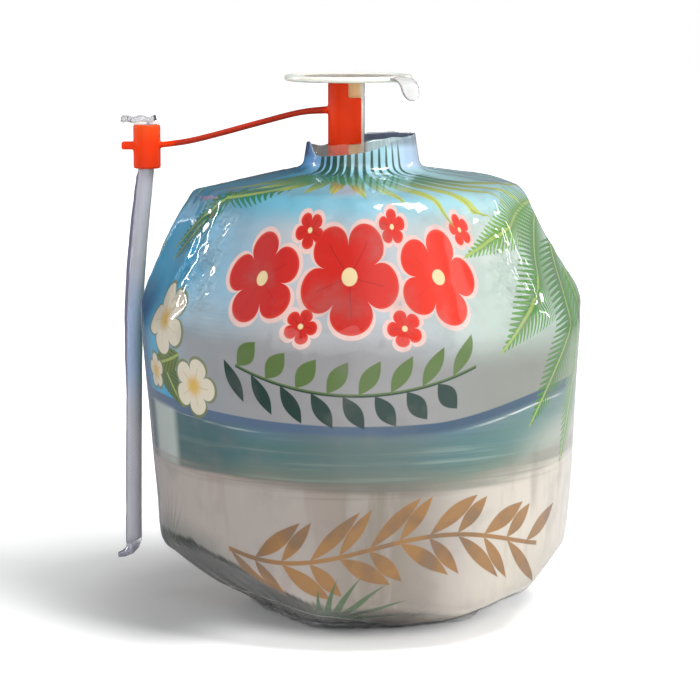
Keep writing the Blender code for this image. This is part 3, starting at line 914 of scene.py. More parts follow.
def grow_ring(sides, stations):
    """A closed body from a ring that grows through stations.

    Each station gives the point at an angle. The attribute near goes from -1 on the left
    side of the ring to 1 on the right.
    """
    bm = bmesh.new()
    near = bm.verts.layers.float.new(NEAR)
    ring = bmesh.ops.create_circle(bm, cap_ends=False, segments=sides, radius=1.0)["verts"]
    angle_of = {vert: math.atan2(vert.co.y, vert.co.x) for vert in ring}
    bmesh.ops.contextual_create(bm, geom=bm.edges[:])
    for index, station in enumerate(stations):
        if index > 0:
            grown = bmesh.ops.extrude_edge_only(bm, edges=ring_edges(angle_of))["geom"]
            new_ring = [item for item in grown if isinstance(item, bmesh.types.BMVert)]
            new_angles = {}
            for vert in new_ring:
                neighbours = [edge.other_vert(vert) for edge in vert.link_edges]
                parent = next(other for other in neighbours if other in angle_of)
                new_angles[vert] = angle_of[parent]
            angle_of = new_angles
        for vert, angle in angle_of.items():
            vert.co = station(angle)
            vert[near] = math.cos(angle)
    bmesh.ops.contextual_create(bm, geom=ring_edges(angle_of))
    bmesh.ops.recalc_face_normals(bm, faces=bm.faces[:])
    return bm


def smooth_route(points, steps):
    """Points of a smooth curve through the given ones, with equal steps in each span."""
    padded = [points[0] * 2.0 - points[1], *points, points[-1] * 2.0 - points[-2]]
    route = []
    for index in range(1, len(padded) - 2):
        before, start, end, after = padded[index - 1:index + 3]
        for step in range(steps):
            t = step / steps
            linear_part = (end - before) * t
            square = (before * 2.0 - start * 5.0 + end * 4.0 - after) * t ** 2
            cube = (start * 3.0 - end * 3.0 + after - before) * t ** 3
            route.append(start + (linear_part + square + cube) / 2.0)
    route.append(points[-1].copy())
    return route


def merged_copy(node):
    """A bmesh of a CAD node whose triangles are joined."""
    bm = bmesh.new()
    bm.from_mesh(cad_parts[node].data)
    bmesh.ops.remove_doubles(bm, verts=bm.verts[:], dist=MERGE)
    return bm


def add_piece(name, bm, material, replaced=()):
    """Makes a bmesh a piece of the object, which rides on its body."""
    mesh = bpy.data.meshes.new(name)
    bm.to_mesh(mesh)
    bm.free()
    mesh.materials.append(material)
    mesh.shade_smooth()
    piece = bpy.data.objects.new(name, mesh)
    bpy.context.scene.collection.objects.link(piece)
    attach(piece, BODY)
    if replaced:
        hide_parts(*replaced)
    return piece


def apply_modifiers(piece):
    """Gives a piece the mesh that its modifiers make."""
    bpy.context.view_layer.update()
    evaluated = piece.evaluated_get(bpy.context.evaluated_depsgraph_get())
    made = bpy.data.meshes.new_from_object(evaluated)
    piece.modifiers.clear()
    piece.data = made
    made.shade_smooth()


def thicken(piece, thickness):
    """Gives a sheet a wall."""
    wall = piece.modifiers.new("wall", "SOLIDIFY")
    wall.thickness = thickness
    wall.offset = 0.0
    apply_modifiers(piece)


# Film

def add_film(name, points, material, replaced=(), zones=None, ridges=None):
    """A piece of film from rows of points round the axis, by spinning a divided line."""
    rows, turns = points.shape[:2]
    bm = bmesh.new()
    for label in (ZONE, NEAR):
        bm.verts.layers.float.new(label)
    ends = [bm.verts.new((0.0, -1.0, height)) for height in (0.0, 1.0)]
    line = bm.edges.new(ends)
    bmesh.ops.subdivide_edges(bm, edges=[line], cuts=rows - 2)
    spin(bm, turns)
    zone = bm.verts.layers.float[ZONE]
    near = bm.verts.layers.float[NEAR]
    for vert in bm.verts:
        turn = round(math.atan2(vert.co.x, -vert.co.y) * turns / (2.0 * math.pi)) % turns
        row = round(vert.co.z * (rows - 1))
        vert.co = points[row, turn]
        if zones is not None:
            vert[zone] = zones[row]
            vert[near] = ridges[row, turn]
    bmesh.ops.remove_doubles(bm, verts=bm.verts[:], dist=MERGE)
    bmesh.ops.dissolve_degenerate(bm, dist=MERGE, edges=bm.edges[:])
    bmesh.ops.recalc_face_normals(bm, faces=bm.faces[:])
    return add_piece(name, bm, material, replaced)


def rim_heights(azimuths, column=1):
    """Height of the clear rim, or with column 2 that of the print's end, eased a little."""
    places = [row[0] for row in FILM_RIM]
    heights = [row[column] for row in FILM_RIM]
    shifts = np.arange(-6.0, 6.1, 2.0)
    eased = [np.interp(azimuths + shift, places, heights, period=360.0) for shift in shifts]
    return sum(eased) / len(shifts)


def collar_ring(azimuths, heights, offset=0.0):
    """Points of the collar at heights, a distance inside its outer face."""
    sine = np.sin(np.radians(azimuths))
    rise = rim_heights(azimuths) - COLLAR_FOOT_HEIGHT
    share = np.clip((heights - COLLAR_FOOT_HEIGHT) / rise, 0.0, 1.2)
    lean = np.abs(sine) * np.where(sine > 0.0, COLLAR_LEAN_RIGHT, COLLAR_LEAN_LEFT)
    pleat = waves(azimuths, (0.00016, 7.0, 1.0), (0.0001, 19.0, 0.0))
    dent = 0.0003 * bump(azimuths, 40.0, 7.0)
    radius = COLLAR_RADIUS + share * (pleat - dent - lean) - offset
    return round_points(azimuths, radius, heights, COLLAR_X)


def ray_lengths(rays):
    """How far the face of the CAD nut is along each ray."""
    tree = BVHTree.FromBMesh(merged_copy("wrapped_coconut"))
    start = Vector((0.0, 0.0, RAY_HEIGHT))
    lengths = [tree.ray_cast(start, Vector(ray))[3] for ray in rays.reshape(-1, 3)]
    return np.array(lengths).reshape(rays.shape[:-1])


def soft_ridges(azimuths, heights, width):
    """How much each place is on one of the rounder ridges, from 0 to 1; width in degrees."""
    share = 0.0
    for azimuth, low, high in SOFT_RIDGES:
        above = smooth_step(low, low + 0.005, heights)
        below = smooth_step(high, high - 0.005, heights)
        share = share + np.exp(-(aside(azimuths, azimuth) / width) ** 4) * above * below
    return share


def wrinkle(points, lengths, azimuths, settings):
    """How far the film stands off the smooth nut at each point, and how near a ridge it is."""
    ridge = lengths - (
        np.roll(lengths, 4, 1) + np.roll(lengths, -4, 1)
        + np.vstack([lengths[:1].repeat(5, 0), lengths[:-5]])
        + np.vstack([lengths[5:], lengths[-1:].repeat(5, 0)])
    ) / 4.0
    ridge = blur(smooth_step(0.00004, 0.00024, ridge), 5)
    z = points[..., 2]
    off = 0.00016 * rough(points, 48.0, 3.0)
    soft = soft_ridges(azimuths, z, 9.0)
    crinkled = settings.crinkle * (0.5 * ridge + 2.0 * soft)
    off += crinkled * (1.2 * rough(points, 170.0, 11.0) + 1.1 * rough(points, 360.0, 23.0))
    away = np.hypot(points[..., 0], points[..., 1])
    angle = np.radians(np.broadcast_to(azimuths, z.shape))
    near_collar = np.exp(-np.clip(away - 0.0172, 0.0, None) / 0.0045) * (z > 0.1)
    off += near_collar * 0.00028 * np.sin(angle * 17.0 + 2.0 * rough(points, 90.0, 5.0))
    low = smooth_step(0.018, 0.005, z)
    spread = np.stack([np.cos(angle) * 6.0, np.sin(angle) * 6.0, z * 40.0], axis=-1)
    off += settings.gathers * low * rough(spread, 1.6, 31.0)
    # Lap of the seam: it rises slowly and ends in a small step
    from_seam = aside(azimuths, SEAM_AZIMUTH)
    lap = smooth_step(-11.0, -1.0, from_seam) * (from_seam < 0.5)
    off += 0.0003 * lap * smooth_step(0.020, 0.026, z) * smooth_step(0.112, 0.104, z)
    return off, np.maximum(soft, 0.12 * ridge)


def nut_film(azimuths, settings):
    """Points of the film on the nut, and how near a ridge each is."""
    elevations = np.linspace(-90.0, TOP_ELEVATION, NUT_ROWS + 1)[:, None]
    rise = np.radians(elevations)
    rays = round_points(azimuths, np.cos(rise), np.sin(rise))
    lengths = blur(ray_lengths(rays), 3)
    lengths += 0.9 * (lengths - blur(lengths, 14))
    for azimuth, elevation, wide, tall, bulge in FILM_BULGES:
        beside = aside(azimuths, azimuth) / wide
        lengths += bulge * np.exp(-beside ** 2 - ((elevations - elevation) / tall) ** 2)
    start = np.array([0.0, 0.0, RAY_HEIGHT])
    points = start + rays * lengths[..., None]
    off, ridge = wrinkle(points, lengths, azimuths, settings)
    soft = soft_ridges(azimuths, points[..., 2], 14.0)
    lengths += soft * (blur(lengths, 60) - lengths) + off
    nut = start + rays * lengths[..., None]
    nut[..., 2] = np.clip(nut[..., 2], 0.0, None)
    return nut, ridge


def add_wrap(azimuths, nut, ridge, settings):
    """The film on the nut, and as the collar up to the print's end."""
    wall = settings.wall
    foot = nut[-1]
    edge = rim_heights(azimuths, 2)
    straight = collar_ring(azimuths, COLLAR_STRAIGHT_HEIGHT)
    corner = collar_ring(azimuths, foot[:, 2] + 0.0003, -0.0002)
    outside = []
    for share in np.arange(1, COLLAR_ROWS + 1) / COLLAR_ROWS:
        if share <= FILLET_SHARE:
            t = share / FILLET_SHARE
            outside.append((1 - t) ** 2 * foot + 2 * t * (1 - t) * corner + t * t * straight)
        else:
            t = (share - FILLET_SHARE) / (1.0 - FILLET_SHARE)
            heights = COLLAR_STRAIGHT_HEIGHT + (edge - COLLAR_STRAIGHT_HEIGHT) * t
            outside.append(collar_ring(azimuths, heights))
    inside = [collar_ring(azimuths, edge + wall * 0.4, wall * share) for share in (0.2, 0.8)]
    for share in np.arange(INSIDE_ROWS + 1) / INSIDE_ROWS:
        inside.append(collar_ring(azimuths, edge + (COLLAR_FLOOR - edge) * share, wall))
    middle = np.array([COLLAR_X, 0.0, COLLAR_FLOOR])
    shares = 1.0 - np.arange(1, FLOOR_ROWS + 1) / FLOOR_ROWS
    floor = [middle + (inside[-1] - middle) * share for share in shares]
    points = np.array([*nut, *outside, *inside, *floor])
    counts = (len(nut) + len(outside), len(inside), len(floor))
    ridges = np.vstack([ridge, np.zeros((len(points) - len(nut), len(azimuths)))])
    add_film(
        "film_wrap", points, film_material(settings), ("wrapped_coconut", "film_collar"),
        np.repeat([0.0, 1.0, 2.0], counts), ridges,
    )


def add_clear_edge():
    """The unprinted clear film above the print, along the collar's rim."""
    azimuths = np.arange(CLEAR_EDGE_TURNS) * 360.0 / CLEAR_EDGE_TURNS
    rim = rim_heights(azimuths)
    fall = rim - rim_heights(azimuths, 2) + 0.0006
    curl = waves(azimuths, (0.00022, 5.0, 0.0), (0.00012, 13.0, 0.0))
    shares = np.linspace(1.0, 0.0, 6)
    heights = [rim - fall * share + curl * (1.0 - share) for share in shares]
    outer = [collar_ring(azimuths, row, CLEAR_EDGE_SIDES[0]) for row in heights]
    inner = [collar_ring(azimuths, row, CLEAR_EDGE_SIDES[1]) for row in reversed(heights)]
    material, tree, shader, cover = clear_material(
        "clear film", (250, 250, 238), 0.08, depth=0.00003, milk=0.06,
    )
    x, y, z = split(tree, object_place(tree))
    lines = long_grain(tree, x * 1600.0, y * 1600.0, z * 40.0, 1.0)
    milky = x.ramp(0.0008, 0.0024)
    tint = lay_over(tree, (250, 240, 220), ((206, 228, 230), milky))
    feed(tree, tint, shader.inputs["Base Color"])
    feed(tree, cover + milky * (lines * 0.3 + 0.22), shader.inputs["Alpha"])
    add_film("film_clear_edge", np.array([*outer, *inner, outer[0]]), material)


def add_foot(azimuths, nut):
    """Crumpled clear film round the foot of the nut."""
    radii = np.hypot(nut[..., 0], nut[..., 1])
    loose = 0.0026 * bump(azimuths, 46.0, 9.0)
    rings = []
    for share in np.linspace(0.0, 1.0, FOOT_FILM_RINGS):
        sample = round_points(azimuths, 3.0, share * 2.0) * (1.0, -1.0, 1.0)
        heights = 0.0003 + 0.0026 * share + 0.0008 * share * rough(sample, 4.5, 17.0)
        skin = np.array([np.interp(*at) for at in zip(heights, nut[..., 2].T, radii.T)])
        crumple = loose + 0.0005 * (1.0 + rough(sample, 5.0, 7.0))
        radius = skin + 0.0002 + share * crumple
        rings.append(round_points(azimuths, radius, np.clip(heights, 0.0003, None)))
    under = [ring - (0.0, 0.0, 0.0002) for ring in reversed(rings)]
    crumpled = clear_material("crumpled film", (190, 194, 200), 0.16)[0]
    add_film("film_foot", np.array([*rings, *under, rings[0]]), crumpled)


def build_film(settings):
    azimuths = np.arange(settings.turns) * 360.0 / settings.turns
    nut, ridge = nut_film(azimuths, settings)
    add_wrap(azimuths, nut, ridge, settings)
    add_clear_edge()
    add_foot(azimuths[::2], nut[:NUT_ROWS // 2, ::2])


# Stem and lid

def spun_profile(profile, turns):
    """A closed body round the stem's axis from its half profile of radii and heights."""
    bm = bmesh.new()
    verts = [bm.verts.new((0.0, -radius, height)) for radius, height in profile]
    for pair in zip(verts, verts[1:]):
        bm.edges.new(pair)
    spin(bm, turns)
    bmesh.ops.recalc_face_normals(bm, faces=bm.faces[:])
    bmesh.ops.translate(bm, vec=(STEM_X, 0.0, 0.0), verts=bm.verts[:])
    return bm


def build_stem(settings):
    low = STEM_LOW.z
    high = STEM_HIGH.z
    # How far in from the stem's radius, and the height
    edge = (
        (0.0003, low), (0.0, low + 0.0003), (0.0, high - 0.0036), (0.00012, high - 0.0035),
        (0.00012, high - 0.0032), (0.0, high - 0.0031), (0.0, high - 0.0004), (0.0004, high),
    )
    side = [(settings.radius - inward, height) for inward, height in edge]
    bm = spun_profile([(0.0, low), *side, (0.0, high)], 96)
    material, tree, shader = plastic_material("pale stem", settings.colour, 0.32)
    x, y, z = split(tree, object_place(tree))
    right = x - STEM_X
    # Painted light: the stem is paler on its right, with a painted dark line along its right edge
    mark(
        tree, shader,
        ((246, 236, 222), right.ramp(0.0026, 0.0036)),
        ((92, 98, 122), right.ramp(0.00395, 0.0041)),
    )
    add_piece("spout_stem_tube", bm, material, ("spout_stem",))


def lid_material(settings):
    material, tree, shader = plastic_material("white lid", settings.colour, 0.3)
    place = object_place(tree)
    x, y, z = split(tree, place)
    away = distance(x - STEM_X, y)
    on_top = z.ramp(LID_HIGH.z - 0.0008, LID_HIGH.z - 0.0005) * away.ramp(0.0118, 0.0112)
    hatch = abs(((x + y * 0.3) * 2400.0).sin()).least(abs(((x * 0.3 - y) * 1200.0).sin()))
    patch = grain(tree, place, 260.0, 3.0)
    line = hatch.ramp(0.62, 0.3) * on_top
    # Painted shade on the lid's lower edge, on its left
    under = z.ramp(0.13835, 0.1382) * x.ramp(-0.0085, -0.0105)
    mark(
        tree, shader,
        ((228, 220, 208), on_top * 0.7),
        ((146, 130, 126), line * 0.65),
        ((66, 52, 54), line * patch.ramp(0.46, 0.58)),
        # Painted shade under the lid
        ((96, 96, 104), under * 0.8),
    )
    return material


def build_lid(settings):
    radius = settings.radius
    low = LID_UNDERSIDE
    high = LID_HIGH.z
    # How far in from the lid's radius, and the height
    edge = (
        (0.0018, high - 0.0003), (0.0015, high - 0.00005), (0.0010, high),
        (0.0005, high - 0.00005), (0.00015, high - 0.0003), (0.0, high - 0.0007),
        (0.0001, high - 0.0011), (0.0004, low + 0.0001), (0.0009, low),
        (0.0016, low + 0.0001),
    )
    profile = [(0.0, high - 0.0003)]
    profile += [(radius - inward, height) for inward, height in edge]
    profile += [(0.0062, low + 0.0001), (0.0058, low - 0.00005), (0.0, low - 0.00005)]
    bm = spun_profile(profile, 160)
    add_piece("lid_disc", bm, lid_material(settings), ("lid_with_tab",))
    add_tab(radius - TAB_OVERLAP, (low + high) / 2.0 + 0.0001)


def add_tab(reach_out, height):
    """The pull tab, which begins at a distance from the lid's axis and bends down."""
    bm = bmesh.new()
    near = bm.verts.layers.float.new(NEAR)
    bmesh.ops.create_grid(bm, x_segments=36, y_segments=20, size=0.5)
    for vert in bm.verts:
        u, v = vert.co.x, vert.co.y
        from_side = 0.5 - abs(v)
        from_end = 0.5 - u
        vert[near] = 1.0 - min(1.0, from_side / 0.12, from_end / 0.06) * (u > -0.36)
        along = (u + 0.5) * TAB_LENGTH
        end = max(0.0, along - (TAB_LENGTH - TAB_HALF_WIDTH)) / TAB_HALF_WIDTH
        half_width = TAB_HALF_WIDTH * math.sqrt(max(0.12 ** 2, 1.0 - end ** 2))
        side = 2.0 * v * half_width
        arc = min(max(0.0, along - TAB_OVERLAP) / TAB_BEND_RADIUS, TAB_BEND)
        rest = max(0.0, along - TAB_OVERLAP - TAB_BEND_RADIUS * TAB_BEND)
        bend_reach = TAB_BEND_RADIUS * math.sin(arc) + rest * math.cos(TAB_BEND)
        drop = TAB_BEND_RADIUS * (1.0 - math.cos(arc)) + rest * math.sin(TAB_BEND)
        ribbed = 0.0008 < along < 0.0042 and abs(side) < 0.0022
        rib = 0.00016 * math.sin(along * 9000.0) * ribbed
        sag = 0.0003 * math.cos(side / TAB_HALF_WIDTH * 1.5)
        vert.co = (min(along, TAB_OVERLAP) + bend_reach, side, sag + rib - drop)
    bmesh.ops.recalc_face_normals(bm, faces=bm.faces[:])
    angle = math.radians(TAB_AZIMUTH)
    root = (STEM_X + math.sin(angle) * reach_out, -math.cos(angle) * reach_out, height)
    turn = Matrix.Rotation(angle - math.pi / 2.0, 4, "Z")
    bmesh.ops.transform(bm, matrix=Matrix.Translation(root) @ turn, verts=bm.verts[:])
    material, tree, shader = plastic_material("tab", linear((212, 212, 210)), 0.25)
    x, y, z = split(tree, object_place(tree))
    # Painted shade: a dark line along the tab's edges, stronger toward its outer end
    outer = x.ramp(0.0128, 0.0148) * 0.5 + 0.4
    mark(tree, shader, ((70, 70, 74), attribute(tree, NEAR).ramp(0.45, 0.9) * outer))
    thicken(add_piece("lid_tab", bm, material), TAB_WALL)


# Tether

def build_tether(settings):
    material, tree, shader = plastic_material("red tether", settings.colour, 0.5, 0.12)
    x, y, z = split(tree, object_place(tree))
    strap = x.within(-0.0488, -0.0092, 0.0012)
    sleeve = x.ramp(-0.050, -0.051)
    mark(
        tree, shader,
        # Painted shade: the strap, seen from its side, is darker
        ((178, 52, 34), strap * 0.8),
        # Painted light: the sleeve is paler near its top
        ((255, 96, 30), sleeve * z.ramp(0.1200, 0.1262) * 0.6),
        # Painted shade: the sleeve is darker low down
        ((222, 54, 16), sleeve * z.ramp(0.1205, 0.1145) * 0.6),
    )
    bm = merged_copy("straw_tether")
    piece = add_piece("tether_moulding", bm, material, ("straw_tether",))
    even = piece.modifiers.new("even skin", "REMESH")
    even.mode = "VOXEL"
    even.voxel_size = settings.voxel
    soft = piece.modifiers.new("moulded edges", "SMOOTH")
    soft.iterations = 5
    apply_modifiers(piece)


# Straw in its wrapper

def wrapper_station(centre, radius, fin):
    """Ring of the wrapper round the straw, with a fin to the left."""

    def point(angle):
        toward_left = max(0.0, -math.cos(angle))
        reach = radius + fin * toward_left ** 24
        thin = 1.0 - 0.75 * toward_left ** 6 * min(1.0, fin / 0.001)
        return centre + Vector((math.cos(angle) * reach, math.sin(angle) * reach * thin, 0.0))

    return point


def ellipse_station(centre, right, depth):
    """Ring with a vector to its right end and a depth from its middle to the back."""
    return lambda angle: centre + right * math.cos(angle) + BACK * depth * math.sin(angle)


def add_straw(route, settings):
    radius = settings.radius
    slopes = [0.0] * (len(route) - 1) + [STRAW_CUT_SLOPE]
    bm = grow_ring(40, [
        ellipse_station(centre, Vector((radius, 0.0, slope)), radius)
        for centre, slope in zip(route, slopes)
    ])
    material, tree, shader = plastic_material("straw", settings.colour, 0.3)
    x, y, z = split(tree, object_place(tree))
    dots = (z * 5200.0).sin() * (x * 5200.0).sin()
    mark(
        tree, shader,
        ((232, 230, 238), dots.ramp(0.2, 0.7) * z.within(0.03, 0.05, 0.006) * 0.25),
        ((156, 192, 236), z.within(0.056, 0.084, 0.008) * 0.7),
    )
    add_piece("straw_tube", bm, material, ("wrapped_straw",))


def add_wrapper(route, radius):
    """The clear wrapper round the straw, and its empty end below it."""
    stations = []
    for centre in route[1:]:
        share = (centre.z - FIN_HEIGHT) / FIN_REACH
        fin = 0.0008 * max(0.0, 1.0 - share ** 2) + 0.0001
        stations.append(wrapper_station(centre, radius, fin if centre.z <= FIN_TOP else 0.0))
    behind = route[-1]
    for x, height, half_thickness, half_width in WRAPPER_FOOT:
        centre = Vector((x, STRAW_Y, height))
        along = (centre - behind).normalized()
        thick = along.cross(BACK).normalized() * half_thickness
        stations.append(ellipse_station(centre, thick, half_width))
        behind = centre
    bm = grow_ring(56, stations)
    for vert in bm.verts:
        spot = vert.co * 420.0
        vert.co.x += noise.noise(spot) * 0.00012
        vert.co.y += noise.noise(spot + UP * 9.0) * 0.00012
    wrap = clear_material(
        "straw wrapper", (176, 176, 198), 0.16, (2.4, 2.4, 0.12), 0.00008, 0.14,
        ((-0.86, -0.96, (104, 102, 138), 0.8), (0.93, 0.99, (74, 80, 124), 0.75)),
        ((0.0146, 0.0130, (134, 138, 156), 0.7),),
    )[0]
    add_piece("straw_wrapper", bm, wrap)


def add_bunch():
    """The wrapper where it is bunched on the sleeve."""
    bm = grow_ring(40, [
        ellipse_station(Vector((BUNCH_X, STRAW_Y, height)), Vector((half, 0.0, 0.0)), depth)
        for height, half, depth in WRAPPER_BUNCH
    ])
    bunch, tree, shader = clear_material(
        "bunched wrapper", (255, 252, 246), 0.92, depth=0.00012, milk=0.2,
    )[:3]
    # A faint painted glow: the emission stands in for the bright room shining through it from
    # behind
    feed(tree, (235, 255, 250), shader.inputs["Emission Color"])
    feed(tree, 0.2, shader.inputs["Emission Strength"])
    add_piece("wrapper_bunch", bm, bunch)


def add_fold():
    """The wrapper's end, folded over on top."""
    bm = bmesh.new()
    near = bm.verts.layers.float.new(NEAR)
    bmesh.ops.create_grid(bm, x_segments=90, y_segments=30, size=0.5)
    for vert in bm.verts:
        u = vert.co.x + 0.5
        v = vert.co.y
        crease = abs(noise.noise(Vector((u * 16.0, v * 5.0, 3.0)))) * (2.2 if u > 0.45 else 1.0)
        # near marks the creases and the folded end, where dark lines are painted as shade
        vert[near] = 1.0 if u > 0.97 else max(0.0, 1.0 - crease * 9.0)
        fold = 0.0008 * math.sin(u * 14.0) * (0.4 + 0.6 * u)
        spot = Vector((u * 5.0, v * 3.0, 0.0))
        lift = 0.0005 * noise.noise(spot * 1.9) + fold * 0.4
        back = v * FOLD_DEPTH + 0.0004 * noise.noise(spot)
        vert.co = (FOLD_LEFT + FOLD_LENGTH * u, STRAW_Y + back, FOLD_HEIGHT + lift)
    folded = clear_material(
        "wrapper fold", (226, 226, 228), 0.55, depth=0.0003,
        # Painted shade: dark lines along the creases and the folded end
        edges=((0.2, 0.8, (70, 64, 88), 0.85),),
    )[0]
    thicken(add_piece("wrapper_fold", bm, folded), FOLD_WALL)


def build_straw(settings):
    points = [Vector((x, STRAW_Y, height)) for x, height in STRAW_ROUTE]
    route = smooth_route(points, 6)
    add_straw(route, settings)
    add_wrapper(route, settings.radius + settings.play)
    add_bunch()
    add_fold()


# Stage

def add_lamp(name, location, width, height, power, colour=(1.0, 1.0, 1.0), **rays):
    """An area lamp aimed at the object, visible to all rays but those given as False."""
    lamp = bpy.data.lights.new(name, "AREA")
    lamp.shape = "RECTANGLE"
    lamp.size = width
    lamp.size_y = height
    lamp.energy = power
    lamp.color = colour
    obj = bpy.data.objects.new(name, lamp)
    obj.location = location
    for label, seen in rays.items():
        setattr(obj, label, seen)
    obj.rotation_euler = (LAMP_TARGET - obj.location).to_track_quat("-Z", "Y").to_euler()
    bpy.context.scene.collection.objects.link(obj)


def floor_material():
    """A floor with a shade under the nut, and a soft one that falls to the left and back."""
    material, tree, shader = new_material(
        "floor", roughness=0.9, specular_ior_level=0.0, emission_color=(255, 255, 255),
    )
    x, y, z = split(tree, object_place(tree))
    away = distance(x + 0.006, y - 0.004)
    along = x * -0.876 + (y - 0.01) * 0.482
    across = x * 0.482 + (y - 0.01) * 0.876
    beyond = along.ramp(0.0, 0.03)
    fallen = across.ramp(-0.085, -0.022) * across.ramp(0.075, 0.03) * beyond
    fallen = fallen * along.ramp(0.5, 0.12)
    close = away.ramp(0.085, 0.05) * beyond
    # The emission is lowered to paint the shade under the nut and the soft shadow to the left and
    # back
    near = (away.ramp(0.028, 0.046) * 0.42 + 0.02) * (1.0 - fallen * 0.5) * (1.0 - close * 0.9)
    path = tree.nodes.new("ShaderNodeLightPath")
    seen = Wire(tree, path.outputs["Is Camera Ray"])
    mirrored = Wire(tree, path.outputs["Is Glossy Ray"])
    # Painted shade in reflections: to glossy rays, the floor is darker on the left
    dark = (Color((0.3, 0.3, 0.32)), mirrored * x.ramp(0.0, -0.12))
    feed(tree, lay_over(tree, Color((0.9, 0.9, 0.9)), dark), shader.inputs["Base Color"])
    feed(tree, (away.ramp(0.10, 0.5) * 0.54 + near) * seen, shader.inputs["Emission Strength"])
    return material


def add_world(scene):
    """A white background, and a room that is dark to the left and bright to the right."""
    world = bpy.data.worlds.new("studio")
    scene.world = world
    world.use_nodes = True
    tree = world.node_tree
    tree.nodes.clear()
    seen = tree.nodes.new("ShaderNodeBackground")
    lit = tree.nodes.new("ShaderNodeBackground")
    seen.inputs["Strength"].default_value = 1.0
    feed(tree, Color((1.0, 1.0, 1.0)), seen.inputs["Color"])
    feed(tree, Color((0.93, 0.96, 1.0)), lit.inputs["Color"])
    toward = Wire(tree, tree.nodes.new("ShaderNodeTexCoord").outputs["Generated"])
    x, y, z = split(tree, toward)
    feed(tree, x.ramp(-0.35, 0.6) * 0.34 + 0.05, lit.inputs["Strength"])
    mix = tree.nodes.new("ShaderNodeMixShader")
    path = tree.nodes.new("ShaderNodeLightPath")
    out = tree.nodes.new("ShaderNodeOutputWorld")
    for socket, target in zip(
            (path.outputs["Is Camera Ray"], lit.outputs[0], seen.outputs[0]), mix.inputs):
        tree.links.new(socket, target)
    tree.links.new(mix.outputs[0], out.inputs[0])


def add_camera(scene):
    camera = bpy.data.cameras.new("camera")
    camera.lens = SENSOR * CAMERA_FOCUS
    camera.sensor_width = SENSOR
    camera.clip_start = 0.05
    camera.clip_end = 20.0
    view = bpy.data.objects.new("camera", camera)
    view.location = CAMERA_PLACE
    view.rotation_euler = (math.radians(90.0 - CAMERA_PITCH), 0.0, 0.0)
    scene.collection.objects.link(view)
    scene.camera = view
    scene.view_settings.view_transform = "Standard"
    scene.view_settings.look = "None"


def build_stage(settings):
    scene = bpy.context.scene
    bm = bmesh.new()
    bmesh.ops.create_grid(bm, x_segments=1, y_segments=1, size=settings.floor / 2.0)
    mesh = bpy.data.meshes.new("floor")
    bm.to_mesh(mesh)
    bm.free()
    floor = bpy.data.objects.new("floor", mesh)
    scene.collection.objects.link(floor)
    floor.location.z = -0.00005
    mesh.materials.append(floor_material())

    add_lamp("key", (0.46, -0.28, 0.98), 0.36, 0.36, settings.key)
    add_lamp("window", (1.05, -0.28, 0.36), 0.9, 0.9, settings.fill, (1.0, 0.98, 0.94))
    add_lamp("front", (-0.25, -1.3, 0.55), 1.8, 1.2, 8.6)
    add_lamp("left edge", (-0.88, 0.40, 0.40), 0.10, 0.50, 4.2, visible_diffuse=False)
    add_lamp("right edge", (0.86, 0.44, 0.40), 0.10, 0.40, 1.6, visible_diffuse=False)
    add_lamp("left fill", (-0.9, 0.1, 0.5), 0.8, 0.8, 4.0, visible_glossy=False)
    add_world(scene)
    add_camera(scene)


# Operators and panel

class COCONUT_OT_stage(bpy.types.Operator):
    """Adds the floor, the lamps and the camera"""

    bl_idname = "coconut.stage"
    bl_label = "Stage"

    def execute(self, context):
        build_stage(context.scene.coconut_stage)
        return {"FINISHED"}


class COCONUT_OT_film(bpy.types.Operator):
    """Shrinks the printed film on the nut, with its collar and its foot"""

    bl_idname = "coconut.film"
    bl_label = "Printed film"

    def execute(self, context):
        build_film(context.scene.coconut_film)
        return {"FINISHED"}


class COCONUT_OT_stem(bpy.types.Operator):
    """Adds the pale stem inside the collar"""

    bl_idname = "coconut.stem"
    bl_label = "Stem"

    def execute(self, context):
        build_stem(context.scene.coconut_stem)
        return {"FINISHED"}


class COCONUT_OT_lid(bpy.types.Operator):
    """Adds the lid and its pull tab"""

    bl_idname = "coconut.lid"
    bl_label = "Lid"

    def execute(self, context):
        build_lid(context.scene.coconut_lid)
        return {"FINISHED"}


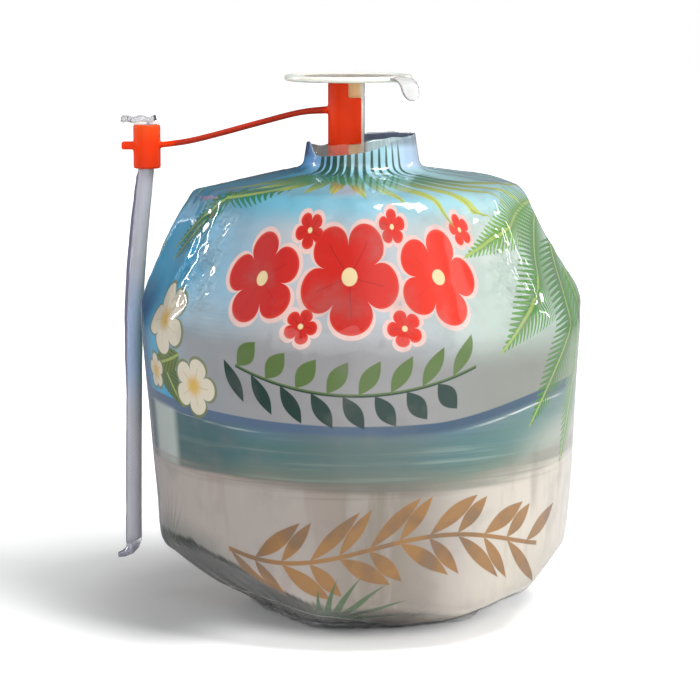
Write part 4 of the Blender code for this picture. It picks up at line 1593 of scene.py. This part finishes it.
class COCONUT_OT_tether(bpy.types.Operator):
    """Adds the clip, strap and sleeve, one moulding"""

    bl_idname = "coconut.tether"
    bl_label = "Tether"

    def execute(self, context):
        build_tether(context.scene.coconut_tether)
        return {"FINISHED"}


class COCONUT_OT_straw(bpy.types.Operator):
    """Adds the straw and its clear wrapper"""

    bl_idname = "coconut.straw"
    bl_label = "Wrapped straw"

    def execute(self, context):
        build_straw(context.scene.coconut_straw)
        return {"FINISHED"}


class COCONUT_PT_panel(bpy.types.Panel):
    """Lists the pieces and their settings"""

    bl_idname = "COCONUT_PT_panel"
    bl_label = "Wrapped young coconut"
    bl_space_type = "VIEW_3D"
    bl_region_type = "UI"
    bl_category = "Coconut"

    def draw(self, context):
        for name, operator, settings in PARTS:
            box = self.layout.box()
            box.operator(operator.bl_idname)
            group = getattr(context.scene, name)
            for label in settings.__annotations__:
                box.prop(group, label)


# Name of the settings on the scene, operator and kind of settings, in building order
PARTS = (
    ("coconut_stage", COCONUT_OT_stage, StageSettings),
    ("coconut_film", COCONUT_OT_film, FilmSettings),
    ("coconut_stem", COCONUT_OT_stem, StemSettings),
    ("coconut_lid", COCONUT_OT_lid, LidSettings),
    ("coconut_tether", COCONUT_OT_tether, TetherSettings),
    ("coconut_straw", COCONUT_OT_straw, StrawSettings),
)


def register():
    for name, operator, settings in PARTS:
        bpy.utils.register_class(settings)
        bpy.utils.register_class(operator)
        setattr(bpy.types.Scene, name, PointerProperty(type=settings))
    bpy.utils.register_class(COCONUT_PT_panel)


def unregister():
    bpy.utils.unregister_class(COCONUT_PT_panel)
    for name, operator, settings in reversed(PARTS):
        delattr(bpy.types.Scene, name)
        bpy.utils.unregister_class(operator)
        bpy.utils.unregister_class(settings)


def main():
    register()
    bpy.ops.coconut.stage()
    bpy.ops.coconut.film()
    bpy.ops.coconut.stem()
    bpy.ops.coconut.lid()
    bpy.ops.coconut.tether()
    bpy.ops.coconut.straw()
    bpy.context.view_layer.update()


if __name__ == "__main__":
    main()
